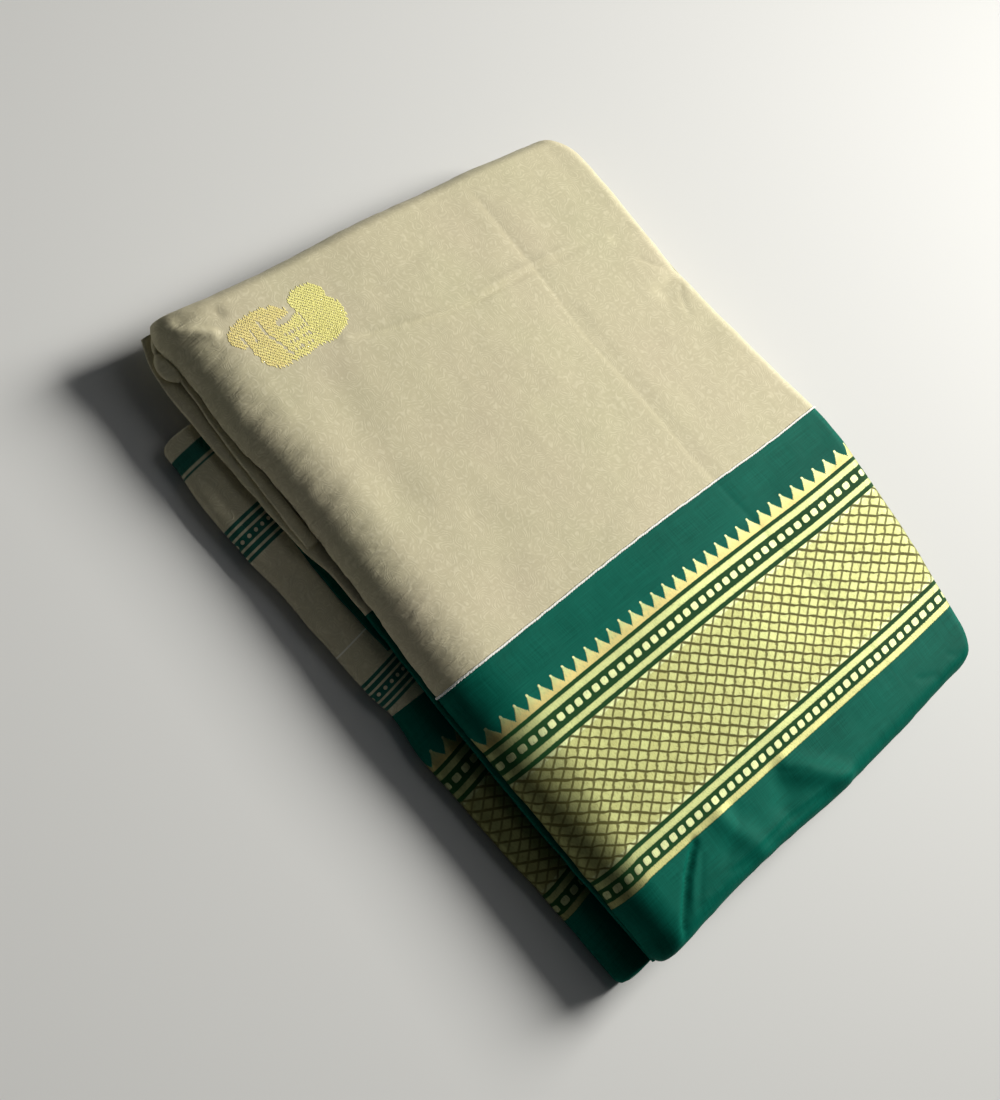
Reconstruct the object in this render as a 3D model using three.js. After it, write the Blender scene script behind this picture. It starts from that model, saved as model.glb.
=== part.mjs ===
// A folded cotton saree with a zari border, lying flat. Millimetres, +Z up, border at +X, folded lips at -Y.
// Two packs lie on each other. The outer cloth runs from the front lip over the top, round the back
// and underneath.
import * as THREE from 'three';

// Driving dimensions
const topLevel = 35.8;                                // the top face before its folds rise and fall
const wall = 1.5;
const thinWall = 1.1;
const gap = 0.3;
const joinGap = 0.4;
const settlePasses = 3;                               // how often a point's X and Y are worked out in turn
const whiteThread = { front: 26.5, slope: 0.021 };     // where body and border are joined, at y = -140
const tuckedJoin = -22.9;                              // the same join on the tucked stretch
const frontRoll = { height: 13, lip: 2.5, lipTurn: 50 };
const backRoll = { reach: 14, height: 17 };
const leftRoll = { reach: 9, height: 12 };
const rightRoll = { reach: 9, height: 10 };
const upperBase = 13.4;                                // underside of the upper pack
const lowerTop = 12;                                   // top of the lower pack's cloth
const lowerCrest = { height: 6, reachUp: 14, reachDown: 8, leaf: 20 };
const tuckedTurn = { leaf: 7, reachUp: 6, reachDown: 5, backInset: 24 };
const cornerRadius = { frontLeft: 5, frontRight: 8, backLeft: 22, backRight: 20 };
const lowerEnds = { leftFront: -143, leftBack: -161, right: 182.5, corner: 8 };
const lowerJoinShift = -6;                             // how far left of the upper join the lower one starts
const blendPower = 2.5;                                // how two rolls meet at a corner
const endInset = 3;                                    // how far the tucked stretch keeps inside the ends
const leafWall = 0.42;                                 // a folded leaf's wall, as a share of its thickness
const planFrom = -140;                                 // Y at the front and the back, as a first guess
const planTo = 140;

// Plan outline of the upper pack: front lip and back crest along X, end folds along Y
const frontLip = [
  { x: -190, y: -138 }, { x: -178, y: -140.7 }, { x: -160, y: -138.7 }, { x: -122, y: -139.8 },
  { x: -90, y: -136.7 }, { x: -23, y: -138.5 }, { x: 27, y: -139.6 }, { x: 107, y: -137.9 },
  { x: 190, y: -136.5 },
];
const backCrest = [
  { x: -185, y: 150 }, { x: -150, y: 156 }, { x: -105, y: 156.7 }, { x: -72, y: 158.4 }, { x: -39, y: 161.7 },
  { x: 6, y: 169.7 }, { x: 45, y: 176 }, { x: 95, y: 171.8 }, { x: 129, y: 167.2 }, { x: 161, y: 160.5 },
  { x: 195, y: 154 },
];
const leftEnd = [
  { y: -139, x: -190.5 }, { y: -117, x: -188.3 }, { y: -82, x: -186.2 }, { y: -7, x: -184.9 },
  { y: 77, x: -181.6 }, { y: 160, x: -178 },
];
const rightEnd = [
  { y: -139, x: 185.8 }, { y: -109, x: 185.4 }, { y: -75, x: 185.9 }, { y: -39, x: 187.9 },
  { y: 0, x: 191.2 }, { y: 83, x: 193.8 }, { y: 160, x: 196 },
];
// How far the front roll reaches over the top: it is tighter at the border
const frontReach = [
  { x: -190, reach: 28 }, { x: 30, reach: 28 }, { x: 75, reach: 24 }, { x: 130, reach: 20 },
  { x: 190, reach: 20 },
];
// Crest of the tucked lip: it stands proud of the front lip on the left and draws level on the right
const tuckedLip = [
  { x: -190, y: -139, z: 15.4, leaf: 16.5 }, { x: -175, y: -145.5, z: 15.3, leaf: 16.6 },
  { x: -161, y: -147.4, z: 15.6, leaf: 16.9 }, { x: -150, y: -147.6, z: 15.8, leaf: 18.2 },
  { x: -118, y: -146.8, z: 15.8, leaf: 18.3 }, { x: -64, y: -143.2, z: 16.1, leaf: 18.4 },
  { x: -45, y: -139.4, z: 16.6, leaf: 18.6 }, { x: 27, y: -139.2, z: 16.8, leaf: 18.8 },
  { x: 107, y: -137.8, z: 16.8, leaf: 18.8 }, { x: 190, y: -133, z: 17, leaf: 18.8 },
];
const lowerFront = [
  { x: -143, y: -162 }, { x: -107, y: -163.8 }, { x: -79, y: -162.7 }, { x: -52, y: -160 },
  { x: -6, y: -158 }, { x: 8, y: -157 }, { x: 20, y: -154.4 }, { x: 39, y: -155.8 },
  { x: 85, y: -154.3 }, { x: 140, y: -150.4 }, { x: 183, y: -148.5 },
];
// Rolled fold at the left front corner, one row for each round section
const tuckRolls = [
  { x: -187, y: -132.5, z: 18.5, across: 1.8, up: 1.1 },
  { x: -182, y: -136.4, z: 18.6, across: 3.2, up: 1.6 },
  { x: -176.5, y: -139.6, z: 18.6, across: 2.2, up: 1.2 },
  { x: -171, y: -140.4, z: 18.8, across: 3.8, up: 1.6 },
  { x: -165.5, y: -139.4, z: 18.9, across: 3.4, up: 1.6 },
  { x: -161, y: -137.0, z: 18.9, across: 2.0, up: 1.1 },
];
const tuckSides = 12;
// Largest folds of the top face: soft ridges (up) and troughs (down) along straight lines
const topFolds = [
  { name: 'long crease', x0: -150, y0: 72, x1: 168, y1: 84, width: 5, rise: -0.7 },
  { name: 'cross crease', x0: -100, y0: 120, x1: -136, y1: -62, width: 4, rise: 0.8 },
  { name: 'end crease', x0: 155, y0: -87, x1: 182, y1: -123, width: 2.6, rise: -1.8 },
  { name: 'end dent', x0: 174, y0: -30, x1: 160, y1: -16, width: 9, rise: -1.6 },
  { name: 'corner pinch', x0: -174, y0: -130, x1: -160, y1: -112, width: 5, rise: 2.4 },
  { name: 'corner hollow', x0: -182, y0: -128, x1: -176, y1: -112, width: 4, rise: -1.2 },
  { name: 'back dent', x0: -46, y0: 158, x1: -36, y1: 132, width: 7, rise: -2.0 },
  { name: 'front hollow', x0: -120, y0: -98, x1: 20, y1: -94, width: 16, rise: -1.1 },
  { name: 'middle swell', x0: -90, y0: 10, x1: 110, y1: 0, width: 45, rise: 0.9 },
];
// Edge relief of the hidden layers: one row for each fold, bottom to top, with how far its edge is set in
const upperLayers = [
  { rise: 3.4, left: 5.0, right: 4.5, front: 17, back: 6 },
  { rise: 3.6, left: 3.2, right: 3.6, front: 17, back: 4 },
  { rise: 3.3, left: 5.4, right: 3.0, front: 6, back: 4 },
  { rise: 3.4, left: 3.6, right: 5.2, front: 7, back: 6 },
  { rise: 3.2, left: 6.5, right: 6.5, front: 15, back: 10 },
];
const lowerLayers = [
  { rise: 2.6, left: 2.0, right: 3.2, front: 9, back: 13 },
  { rise: 3.0, left: 3.6, right: 1.6, front: 6, back: 9 },
  { rise: 2.7, left: 2.4, right: 3.0, front: 12, back: 6 },
  { rise: 2.8, left: 4.0, right: 4.4, front: 46, back: 5 },
];
const layerBulge = 1.5;
// Plan of a layer's ring before it is fitted: rounded corners, and how many steps each side takes
const ringPlan = { corner: 16, spanX: 370, spanY: 290, cornerSteps: 3, sideSteps: [9, 8, 9, 8] };
const bulgeProfile = [{ up: 0, out: 0 }, { up: 0.2, out: 0.75 }, { up: 0.5, out: 1 }, { up: 0.8, out: 0.75 }];

const finish = {
  khaki: { color: 0xb9ae8c, roughness: 0.85, metalness: 0 },
  khakiShade: { color: 0xa69c7c, roughness: 0.88, metalness: 0 },
  green: { color: 0x0b5a48, roughness: 0.6, metalness: 0.05 },
  greenShade: { color: 0x083f35, roughness: 0.7, metalness: 0.05 },
  layers: { color: 0x9a9274, roughness: 0.9, metalness: 0 },
};

const radians = THREE.MathUtils.degToRad;
const lerp = THREE.MathUtils.lerp;

// Smooth value of one column of a table at a place along another
function along(table, keyColumn, valueColumn, place) {
  const last = table.length - 1;
  if (place <= table[0][keyColumn]) return table[0][valueColumn];
  if (place >= table[last][keyColumn]) return table[last][valueColumn];
  const slope = (i) => {
    const before = table[Math.max(i - 1, 0)];
    const after = table[Math.min(i + 1, last)];
    return (after[valueColumn] - before[valueColumn]) / (after[keyColumn] - before[keyColumn]);
  };
  const i = table.findIndex((row) => row[keyColumn] > place) - 1;
  const from = table[i];
  const to = table[i + 1];
  const span = to[keyColumn] - from[keyColumn];
  const t = (place - from[keyColumn]) / span;
  const smooth = t * t * (3 - 2 * t);
  return lerp(from[valueColumn], to[valueColumn], smooth)
    + span * t * (1 - t) * ((1 - t) * slope(i) - t * slope(i + 1));
}

// Steps of a parameter, each stretch [from, to, steps] joined to the next
function steps(...stretches) {
  const places = [stretches[0][0]];
  for (const [from, to, count] of stretches) {
    for (let i = 1; i <= count; i += 1) places.push(lerp(from, to, i / count));
  }
  return places;
}

function roundedIn(radius, distance) {
  if (distance >= radius) return 0;
  const left = 1 - Math.max(distance, 0) / radius;
  return radius * (1 - Math.sqrt(Math.max(1 - left * left, 0)));
}

const cornerIn = (corner, distance) => roundedIn(cornerRadius[corner], distance);

// A quarter roll: turn 0 is its outermost point, turn 90 the flat above it
function rollIn(reach, height, turn) {
  const angle = radians(turn);
  return { inset: reach * (1 - Math.cos(angle)), drop: height * (1 - Math.sin(angle)) };
}

function foldRelief(x, y) {
  let rise = 0;
  for (const fold of topFolds) {
    const dx = fold.x1 - fold.x0;
    const dy = fold.y1 - fold.y0;
    const length = Math.hypot(dx, dy);
    const t = THREE.MathUtils.clamp(((x - fold.x0) * dx + (y - fold.y0) * dy) / (length * length), 0, 1);
    const away = Math.hypot(x - fold.x0 - t * dx, y - fold.y0 - t * dy);
    rise += fold.rise * Math.exp(-((away / fold.width) ** 2));
  }
  return rise;
}

const frontEdge = (x) => along(frontLip, 'x', 'y', x);
const backEdge = (x) => along(backCrest, 'x', 'y', x);
const reachAt = (x) => along(frontReach, 'x', 'reach', x);

// Point of the upper pack's outer face. side says how far along X (0 to 1 between two limits) and its end
// roll, place how far along the section: a lip angle below 0, the front roll 0 to 90, the flat 90 to 180 and
// the back roll to 270.
function topPoint(limits, side, place) {
  const angle = radians(place);
  const backTurn = rollIn(backRoll.reach, backRoll.height, 270 - place);
  let drop = 0;
  if (place < 0) drop = frontRoll.height - frontRoll.lip * Math.sin(angle);
  else if (place <= 90) drop = frontRoll.height * (1 - Math.sin(angle));
  else if (place > 180) drop = backTurn.drop;
  // the ends' X depends on Y, so X and Y are settled in turn
  let x = 0;
  let y = lerp(planFrom, planTo, THREE.MathUtils.clamp((place - 90) / 90, 0, 1));
  for (let pass = 0; pass < settlePasses; pass += 1) {
    const low = limits.low(y);
    const high = limits.high(y);
    x = lerp(low + (side.insetLow || 0), high - (side.insetHigh || 0), side.share);
    const fromLeft = x - along(leftEnd, 'y', 'x', y);
    const fromRight = along(rightEnd, 'y', 'x', y) - x;
    const front = frontEdge(x) + cornerIn('frontLeft', fromLeft) + cornerIn('frontRight', fromRight);
    const back = backEdge(x) - cornerIn('backLeft', fromLeft) - cornerIn('backRight', fromRight);
    const reach = reachAt(x);
    if (place < 0) y = front + frontRoll.lip * (1 - Math.cos(angle));
    else if (place <= 90) y = front + reach * (1 - Math.cos(angle));
    else if (place <= 180) y = lerp(front + reach, back - backRoll.reach, (place - 90) / 90);
    else y = back - backTurn.inset;
  }
  const both = (drop ** blendPower + side.drop ** blendPower) ** (1 / blendPower);
  const settle = 1 - Math.min(both / backRoll.height, 1) ** 2;
  return new THREE.Vector3(x, y, topLevel - both + foldRelief(x, y) * settle);
}

// A wall between a face given by point(u, v) and the same face moved in by its thickness
function cloth(name, us, vs, point, thickness, look) {
  const outer = us.map((u) => vs.map((v) => point(u, v)));
  const inner = outer.map((row, i) => row.map((p, j) => {
    const alongU = outer[Math.min(i + 1, us.length - 1)][j].clone().sub(outer[Math.max(i - 1, 0)][j]);
    const alongV = row[Math.min(j + 1, vs.length - 1)].clone().sub(row[Math.max(j - 1, 0)]);
    return p.clone().addScaledVector(alongU.cross(alongV).normalize(), -thickness);
  }));
  const points = [...outer.flat(), ...inner.flat()];
  const size = outer.flat().length;
  const at = (i, j, side) => side * size + i * vs.length + j;
  const faces = [];
  const quad = (a, b, c, d) => faces.push(a, b, c, a, c, d);
  for (let i = 0; i < us.length - 1; i += 1) {
    for (let j = 0; j < vs.length - 1; j += 1) {
      quad(at(i, j, 0), at(i + 1, j, 0), at(i + 1, j + 1, 0), at(i, j + 1, 0));
      quad(at(i, j, 1), at(i, j + 1, 1), at(i + 1, j + 1, 1), at(i + 1, j, 1));
    }
  }
  const lastU = us.length - 1;
  const lastV = vs.length - 1;
  for (let j = 0; j < lastV; j += 1) {
    quad(at(0, j, 0), at(0, j + 1, 0), at(0, j + 1, 1), at(0, j, 1));
    quad(at(lastU, j, 0), at(lastU, j, 1), at(lastU, j + 1, 1), at(lastU, j + 1, 0));
  }
  for (let i = 0; i < lastU; i += 1) {
    quad(at(i, 0, 0), at(i, 0, 1), at(i + 1, 0, 1), at(i + 1, 0, 0));
    quad(at(i, lastV, 0), at(i + 1, lastV, 0), at(i + 1, lastV, 1), at(i, lastV, 1));
  }
  return solid(name, points, faces, look);
}

function solid(name, points, faces, look) {
  const geometry = new THREE.BufferGeometry();
  geometry.setAttribute('position', new THREE.Float32BufferAttribute(points.flatMap((p) => p.toArray()), 3));
  geometry.setIndex(faces);
  geometry.computeVertexNormals();
  const mesh = new THREE.Mesh(geometry, new THREE.MeshStandardMaterial(look));
  mesh.name = name;
  return mesh;
}

// A rounded rectangle one unit long and wide, as points in turn from its right front corner
function unitOutline() {
  const { corner, spanX, spanY, cornerSteps, sideSteps } = ringPlan;
  const corners = [[1, 0, -90], [1, 1, 0], [0, 1, 90], [0, 0, 180]];
  const at = ([cx, cy, start], turn) => {
    const angle = radians(start + turn);
    return [
      cx + ((cx ? -corner : corner) + corner * Math.cos(angle)) / spanX,
      cy + ((cy ? -corner : corner) + corner * Math.sin(angle)) / spanY,
    ];
  };
  const ring = [];
  corners.forEach((here, k) => {
    for (let i = 0; i <= cornerSteps; i += 1) ring.push(at(here, (90 * i) / cornerSteps));
    const from = at(here, 90);
    const to = at(corners[(k + 1) % 4], 0);
    for (let i = 1; i < sideSteps[k]; i += 1) {
      ring.push([lerp(from[0], to[0], i / sideSteps[k]), lerp(from[1], to[1], i / sideSteps[k])]);
    }
  });
  return ring;
}

// Hidden layers: rings of the plan outline, set in and out again for each fold, closed by flat faces
function layeredPack(name, layers, base, edges, look) {
  const unitRing = unitOutline();
  const rings = [];
  let z = base;
  for (const layer of layers) {
    for (const step of bulgeProfile) {
      rings.push({ z: z + layer.rise * step.up, layer, out: layerBulge * step.out });
    }
    z += layer.rise;
  }
  rings.push({ z, layer: layers[layers.length - 1], out: 0 });
  const points = rings.flatMap((ring) => unitRing.map(([a, b]) => {
    const guess = lerp(planFrom, planTo, b);
    const left = edges.left(guess) + ring.layer.left + layerBulge - ring.out;
    const right = edges.right(guess) - ring.layer.right - layerBulge + ring.out;
    const x = lerp(left, right, a);
    const front = edges.front(x) + ring.layer.front + layerBulge - ring.out;
    const back = edges.back(x) - ring.layer.back - layerBulge + ring.out;
    return new THREE.Vector3(x, lerp(front, back, b), ring.z);
  }));
  const count = unitRing.length;
  const faces = [];
  for (let r = 0; r < rings.length - 1; r += 1) {
    for (let i = 0; i < count; i += 1) {
      const next = (i + 1) % count;
      const a = r * count + i;
      const b = r * count + next;
      faces.push(a, b, b + count, a, b + count, a + count);
    }
  }
  const lowCentre = points.length;
  points.push(new THREE.Vector3(0, 0, rings[0].z), new THREE.Vector3(0, 0, rings[rings.length - 1].z));
  const topRow = (rings.length - 1) * count;
  for (let i = 0; i < count; i += 1) {
    const next = (i + 1) % count;
    faces.push(lowCentre, next, i, lowCentre + 1, topRow + i, topRow + next);
  }
  return solid(name, points, faces, look);
}

// Outer stretch over the upper pack
const threadX = (y) => whiteThread.front + whiteThread.slope * (y + 140);
const leftX = (y) => along(leftEnd, 'y', 'x', y);
const rightX = (y) => along(rightEnd, 'y', 'x', y);
const topPlaces = steps([-frontRoll.lipTurn, 0, 2], [0, 90, 8], [90, 180, 9], [180, 270, 6]);

function topBody() {
  const sides = [0, 18, 38, 62].map((turn) => {
    const { inset, drop } = rollIn(leftRoll.reach, leftRoll.height, turn);
    return { share: 0, insetLow: inset, drop };
  });
  for (const share of steps([0, 0.06, 2], [0.06, 1, 13])) {
    sides.push({ share, insetLow: leftRoll.reach, insetHigh: gap, drop: 0 });
  }
  const point = (side, place) => topPoint({ low: leftX, high: threadX }, side, place);
  return cloth('top_body', sides, topPlaces, point, wall, finish.khaki);
}

function topBorder() {
  const sides = [];
  for (const share of steps([0, 0.92, 9], [0.92, 1, 2])) {
    sides.push({ share, insetHigh: rightRoll.reach, drop: 0 });
  }
  for (const turn of [62, 38, 18, 0]) {
    const { inset, drop } = rollIn(rightRoll.reach, rightRoll.height, turn);
    sides.push({ share: 1, insetHigh: inset, drop });
  }
  const point = (side, place) => topPoint({ low: threadX, high: rightX }, side, place);
  return cloth('top_border', sides, topPlaces, point, wall, finish.green);
}

// Tucked stretch: a leaf that comes out under the front lip, turns at its own lip and runs back under the
// upper pack
function tuckedPoint(limits, share, place) {
  const around = lerp(planFrom, planTo, Math.max(place - 3, 0));
  const x = lerp(limits.low(around), limits.high(around), share);
  const crest = along(tuckedLip, 'x', 'y', x);
  const height = along(tuckedLip, 'x', 'z', x);
  const upper = along(tuckedLip, 'x', 'leaf', x);
  const inner = crest + tuckedTurn.reachUp;
  if (place <= 1) return new THREE.Vector3(x, lerp(inner + tuckedTurn.leaf, inner, place), upper);
  if (place <= 2) {
    const angle = radians(lerp(90, 0, place - 1));
    const y = crest + tuckedTurn.reachUp * (1 - Math.cos(angle));
    return new THREE.Vector3(x, y, height + (upper - height) * Math.sin(angle));
  }
  if (place <= 3) {
    const angle = radians(lerp(0, -90, place - 2));
    const y = crest + tuckedTurn.reachDown * (1 - Math.cos(angle));
    return new THREE.Vector3(x, y, height + (height - upperBase) * Math.sin(angle));
  }
  const end = backEdge(x) - tuckedTurn.backInset;
  return new THREE.Vector3(x, lerp(crest + tuckedTurn.reachDown, end, place - 3), upperBase);
}
const tuckedPlaces = steps([0, 1, 2], [1, 2, 3], [2, 3, 3], [3, 4, 6]).reverse();

function tuckedStretch(name, low, high, shares, look) {
  const point = (share, place) => tuckedPoint({ low, high }, share, place);
  return cloth(name, shares, tuckedPlaces, point, thinWall, look);
}

// Lower stretch: over the front of the lower pack, underneath and up round the back to the upper pack's cloth
function lowerPoint(limits, share, place) {
  let x = 0;
  let y = lerp(planFrom, planTo, THREE.MathUtils.clamp(place - 3, 0, 1));
  let z = 0;
  for (let pass = 0; pass < settlePasses; pass += 1) {
    x = lerp(limits.low(y), limits.high(y), share);
    const fromLeft = x - lowerLeft(y);
    const fromRight = lowerEnds.right - x;
    const ends = roundedIn(lowerEnds.corner, fromLeft) + roundedIn(lowerEnds.corner, fromRight);
    const crest = lowerEdge(x) + ends;
    const back = backEdge(x) - cornerIn('backLeft', x - leftX(y)) - cornerIn('backRight', rightX(y) - x);
    if (place <= 1) {
      y = lerp(crest + lowerCrest.reachUp + lowerCrest.leaf, crest + lowerCrest.reachUp, place);
      z = lowerTop;
    } else if (place <= 2) {
      const angle = radians(lerp(90, 0, place - 1));
      y = crest + lowerCrest.reachUp * (1 - Math.cos(angle));
      z = lowerCrest.height + (lowerTop - lowerCrest.height) * Math.sin(angle);
    } else if (place <= 3) {
      const angle = radians(lerp(0, -90, place - 2));
      y = crest + lowerCrest.reachDown * (1 - Math.cos(angle));
      z = lowerCrest.height * (1 + Math.sin(angle));
    } else if (place <= 4) {
      y = lerp(crest + lowerCrest.reachDown, back - backRoll.reach, place - 3);
      z = 0;
    } else {
      const angle = radians(lerp(-90, 0, place - 4));
      y = back - backRoll.reach * (1 - Math.cos(angle));
      z = (topLevel - backRoll.height - joinGap) * (1 + Math.sin(angle));
    }
  }
  return new THREE.Vector3(x, y, z);
}
const lowerEdge = (x) => along(lowerFront, 'x', 'y', x);
const acrossPlan = (y) => (y - planFrom) / (planTo - planFrom);
const lowerLeft = (y) => lerp(lowerEnds.leftFront, lowerEnds.leftBack, acrossPlan(y));
const lowerRight = () => lowerEnds.right;
const lowerPlaces = steps([0, 1, 2], [1, 2, 6], [2, 3, 4], [3, 4, 7], [4, 5, 6]).reverse();
const lowerJoin = (y) => threadX(y) + lerp(lowerJoinShift, 0, Math.min(acrossPlan(y), 1));

function lowerStretch(name, low, high, shares, look) {
  const point = (share, place) => lowerPoint({ low, high }, share, place);
  return cloth(name, shares, lowerPlaces, point, wall, look);
}

// A folded leaf: two layers and the turn between them, pressed flat, from x0 to x1 with its crest in front
function foldedLeaf(name, leaf, look) {
  const places = steps([0, 1, 3], [1, 2, 4], [2, 3, 3]).reverse();
  const point = (x, place) => {
    const t = (x - leaf.x0) / (leaf.x1 - leaf.x0);
    const crest = lerp(leaf.crest0, leaf.crest1, t) - leaf.bow * Math.sin(Math.PI * t);
    const half = leaf.thick / 2;
    const inside = crest + leaf.depth;
    if (place <= 1) return new THREE.Vector3(x, lerp(inside, crest + half, place), leaf.z + half);
    if (place >= 2) return new THREE.Vector3(x, lerp(crest + half, inside, place - 2), leaf.z - half);
    const angle = radians(lerp(90, -90, place - 1));
    return new THREE.Vector3(x, crest + half * (1 - Math.cos(angle)), leaf.z + half * Math.sin(angle));
  };
  return cloth(name, steps([leaf.x0, leaf.x1, leaf.count]), places, point, leaf.thick * leafWall, look);
}

// Rolled fold at the left front corner: round sections of changing size along a short bent line
function cornerTuck() {
  const points = [];
  for (const roll of tuckRolls) {
    for (let i = 0; i < tuckSides; i += 1) {
      const angle = (i / tuckSides) * 2 * Math.PI;
      const y = roll.y + roll.across * Math.cos(angle);
      points.push(new THREE.Vector3(roll.x, y, roll.z + roll.up * Math.sin(angle)));
    }
  }
  const faces = [];
  for (let r = 0; r < tuckRolls.length - 1; r += 1) {
    for (let i = 0; i < tuckSides; i += 1) {
      const a = r * tuckSides + i;
      const b = r * tuckSides + ((i + 1) % tuckSides);
      faces.push(a, b, b + tuckSides, a, b + tuckSides, a + tuckSides);
    }
  }
  const first = tuckRolls[0];
  const last = tuckRolls[tuckRolls.length - 1];
  const firstCentre = points.length;
  points.push(new THREE.Vector3(first.x, first.y, first.z), new THREE.Vector3(last.x, last.y, last.z));
  const lastRow = (tuckRolls.length - 1) * tuckSides;
  for (let i = 0; i < tuckSides; i += 1) {
    const next = (i + 1) % tuckSides;
    faces.push(firstCentre, next, i, firstCentre + 1, lastRow + i, lastRow + next);
  }
  return solid('corner_tuck', points, faces, finish.khakiShade);
}

const leaves = {
  inner_fold: {
    x0: -157, x1: -63, crest0: -140, crest1: -143, bow: 1.2, z: 19.6, thick: 1.7, depth: 7, count: 8,
  },
  under_fold: {
    x0: -84, x1: -4, crest0: -142, crest1: -144, bow: 2.5, z: 12.7, thick: 0.8, depth: 22, count: 8,
  },
};

const upperEdges = { left: leftX, right: rightX, front: frontEdge, back: backEdge };
const lowerEdges = { left: lowerLeft, right: lowerRight, front: lowerEdge, back: backEdge };
const tuckedEnds = { left: (y) => leftX(y) + endInset, right: (y) => rightX(y) - endInset };
const shares = {
  tuckedBody: steps([0, 0.24, 5], [0.24, 1, 9]),
  tuckedBorder: steps([0, 1, 10]),
  lowerBody: steps([0, 0.008, 1], [0.008, 0.05, 3], [0.05, 1, 9]),
  lowerBorder: steps([0, 0.86, 8], [0.86, 0.95, 2], [0.95, 0.992, 3], [0.992, 1, 1]),
};

const saree = new THREE.Group();
saree.add(
  topBody(),
  topBorder(),
  tuckedStretch('tucked_body', tuckedEnds.left, () => tuckedJoin - gap, shares.tuckedBody, finish.khaki),
  tuckedStretch('tucked_border', () => tuckedJoin, tuckedEnds.right, shares.tuckedBorder, finish.greenShade),
  foldedLeaf('inner_fold', leaves.inner_fold, finish.khakiShade),
  cornerTuck(),
  foldedLeaf('under_fold', leaves.under_fold, finish.greenShade),
  lowerStretch('lower_body', lowerLeft, (y) => lowerJoin(y) - joinGap, shares.lowerBody, finish.khaki),
  lowerStretch('lower_border', lowerJoin, lowerRight, shares.lowerBorder, finish.greenShade),
  layeredPack('upper_folds', upperLayers, upperBase + thinWall + gap, upperEdges, finish.layers),
  layeredPack('lower_folds', lowerLayers, wall + gap, lowerEdges, finish.layers),
);

// The origin is the middle of the plan, on the surface that the saree lies on
const box = new THREE.Box3().setFromObject(saree);
const middle = box.getCenter(new THREE.Vector3());
saree.position.set(-middle.x, -middle.y, -box.min.z);

export default saree;
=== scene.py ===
import bmesh
import bpy
import math
import numpy as np
from mathutils import Matrix, Vector
from mathutils.bvhtree import BVHTree


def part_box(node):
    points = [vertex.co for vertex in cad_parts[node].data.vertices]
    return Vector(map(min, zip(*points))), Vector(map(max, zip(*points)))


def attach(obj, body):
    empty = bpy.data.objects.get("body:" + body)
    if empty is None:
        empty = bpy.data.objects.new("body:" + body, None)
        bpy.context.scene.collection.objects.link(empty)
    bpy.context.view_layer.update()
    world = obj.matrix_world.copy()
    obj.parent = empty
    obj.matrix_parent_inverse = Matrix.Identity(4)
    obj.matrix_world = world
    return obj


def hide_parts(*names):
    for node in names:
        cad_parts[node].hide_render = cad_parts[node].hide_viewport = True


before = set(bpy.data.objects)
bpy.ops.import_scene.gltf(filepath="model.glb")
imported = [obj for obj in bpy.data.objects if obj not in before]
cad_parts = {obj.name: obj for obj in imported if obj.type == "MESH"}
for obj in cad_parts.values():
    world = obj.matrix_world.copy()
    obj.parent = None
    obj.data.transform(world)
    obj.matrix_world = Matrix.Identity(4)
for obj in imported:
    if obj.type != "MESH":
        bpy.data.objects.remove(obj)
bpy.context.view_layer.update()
print("frame loaded")

# The folded pack in millimetres, on the plan of the part's source: +X to the border, +Y to the back fold
pack = {
    "topLevel": 35.8,
    "lip": 2.5, "lipTurn": 50,             # radius of the front lip, and the angle that it turns under
    "frontHeight": 13,
    "frontReach": [(-190, 28), (30, 29), (70, 32), (100, 27), (135, 20), (190, 18)],
    "backReach": 14, "backHeight": 17,
    "leftReach": 9, "leftHeight": 12,
    "rightReach": 9, "rightHeight": 10,
    "endLip": 3,                           # how far an end hangs below its roll
    "cornerDrop": 0.4,                     # how much further the ends turn down near the back
    "cornerSag": 1.5,                      # and how far below the back roll a corner may hang
    "endRound": 2.5,                       # how two rolls meet at a corner
    "frontLeft": 5, "frontRight": 8, "backLeft": 22, "backRight": 20,       # round corners of the plan
    "threadFront": 26.5, "threadSlope": 0.021,
    "threadBow": [(-140, 0.6), (-62, -0.6), (3, -1.3), (63, -0.4), (113, 0.7), (165, 0.6)],
    "frontLip": [(-190, -138), (-178, -140.7), (-160, -138.7), (-122, -139.8), (-90, -136.7), (-23, -138.5),
                 (27, -139.6), (107, -137.9), (190, -136.5)],
    "backCrest": [(-185, 150), (-150, 156), (-105, 156.7), (-72, 158.4), (-39, 161.7), (6, 169.7), (45, 176),
                  (95, 171.8), (129, 167.2), (161, 160.5), (195, 154)],
    "leftEnd": [(-139, -190.5), (-117, -188.3), (-82, -186.2), (-7, -184.9), (77, -181.6), (160, -178)],
    "rightEnd": [(-139, 185.8), (-109, 185.4), (-75, 185.9), (-39, 187.9), (0, 191.2), (83, 193.8),
                 (160, 196)],
    "guess": (-110, 140),                  # front and back of the flat stretch, to start from
}

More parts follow.
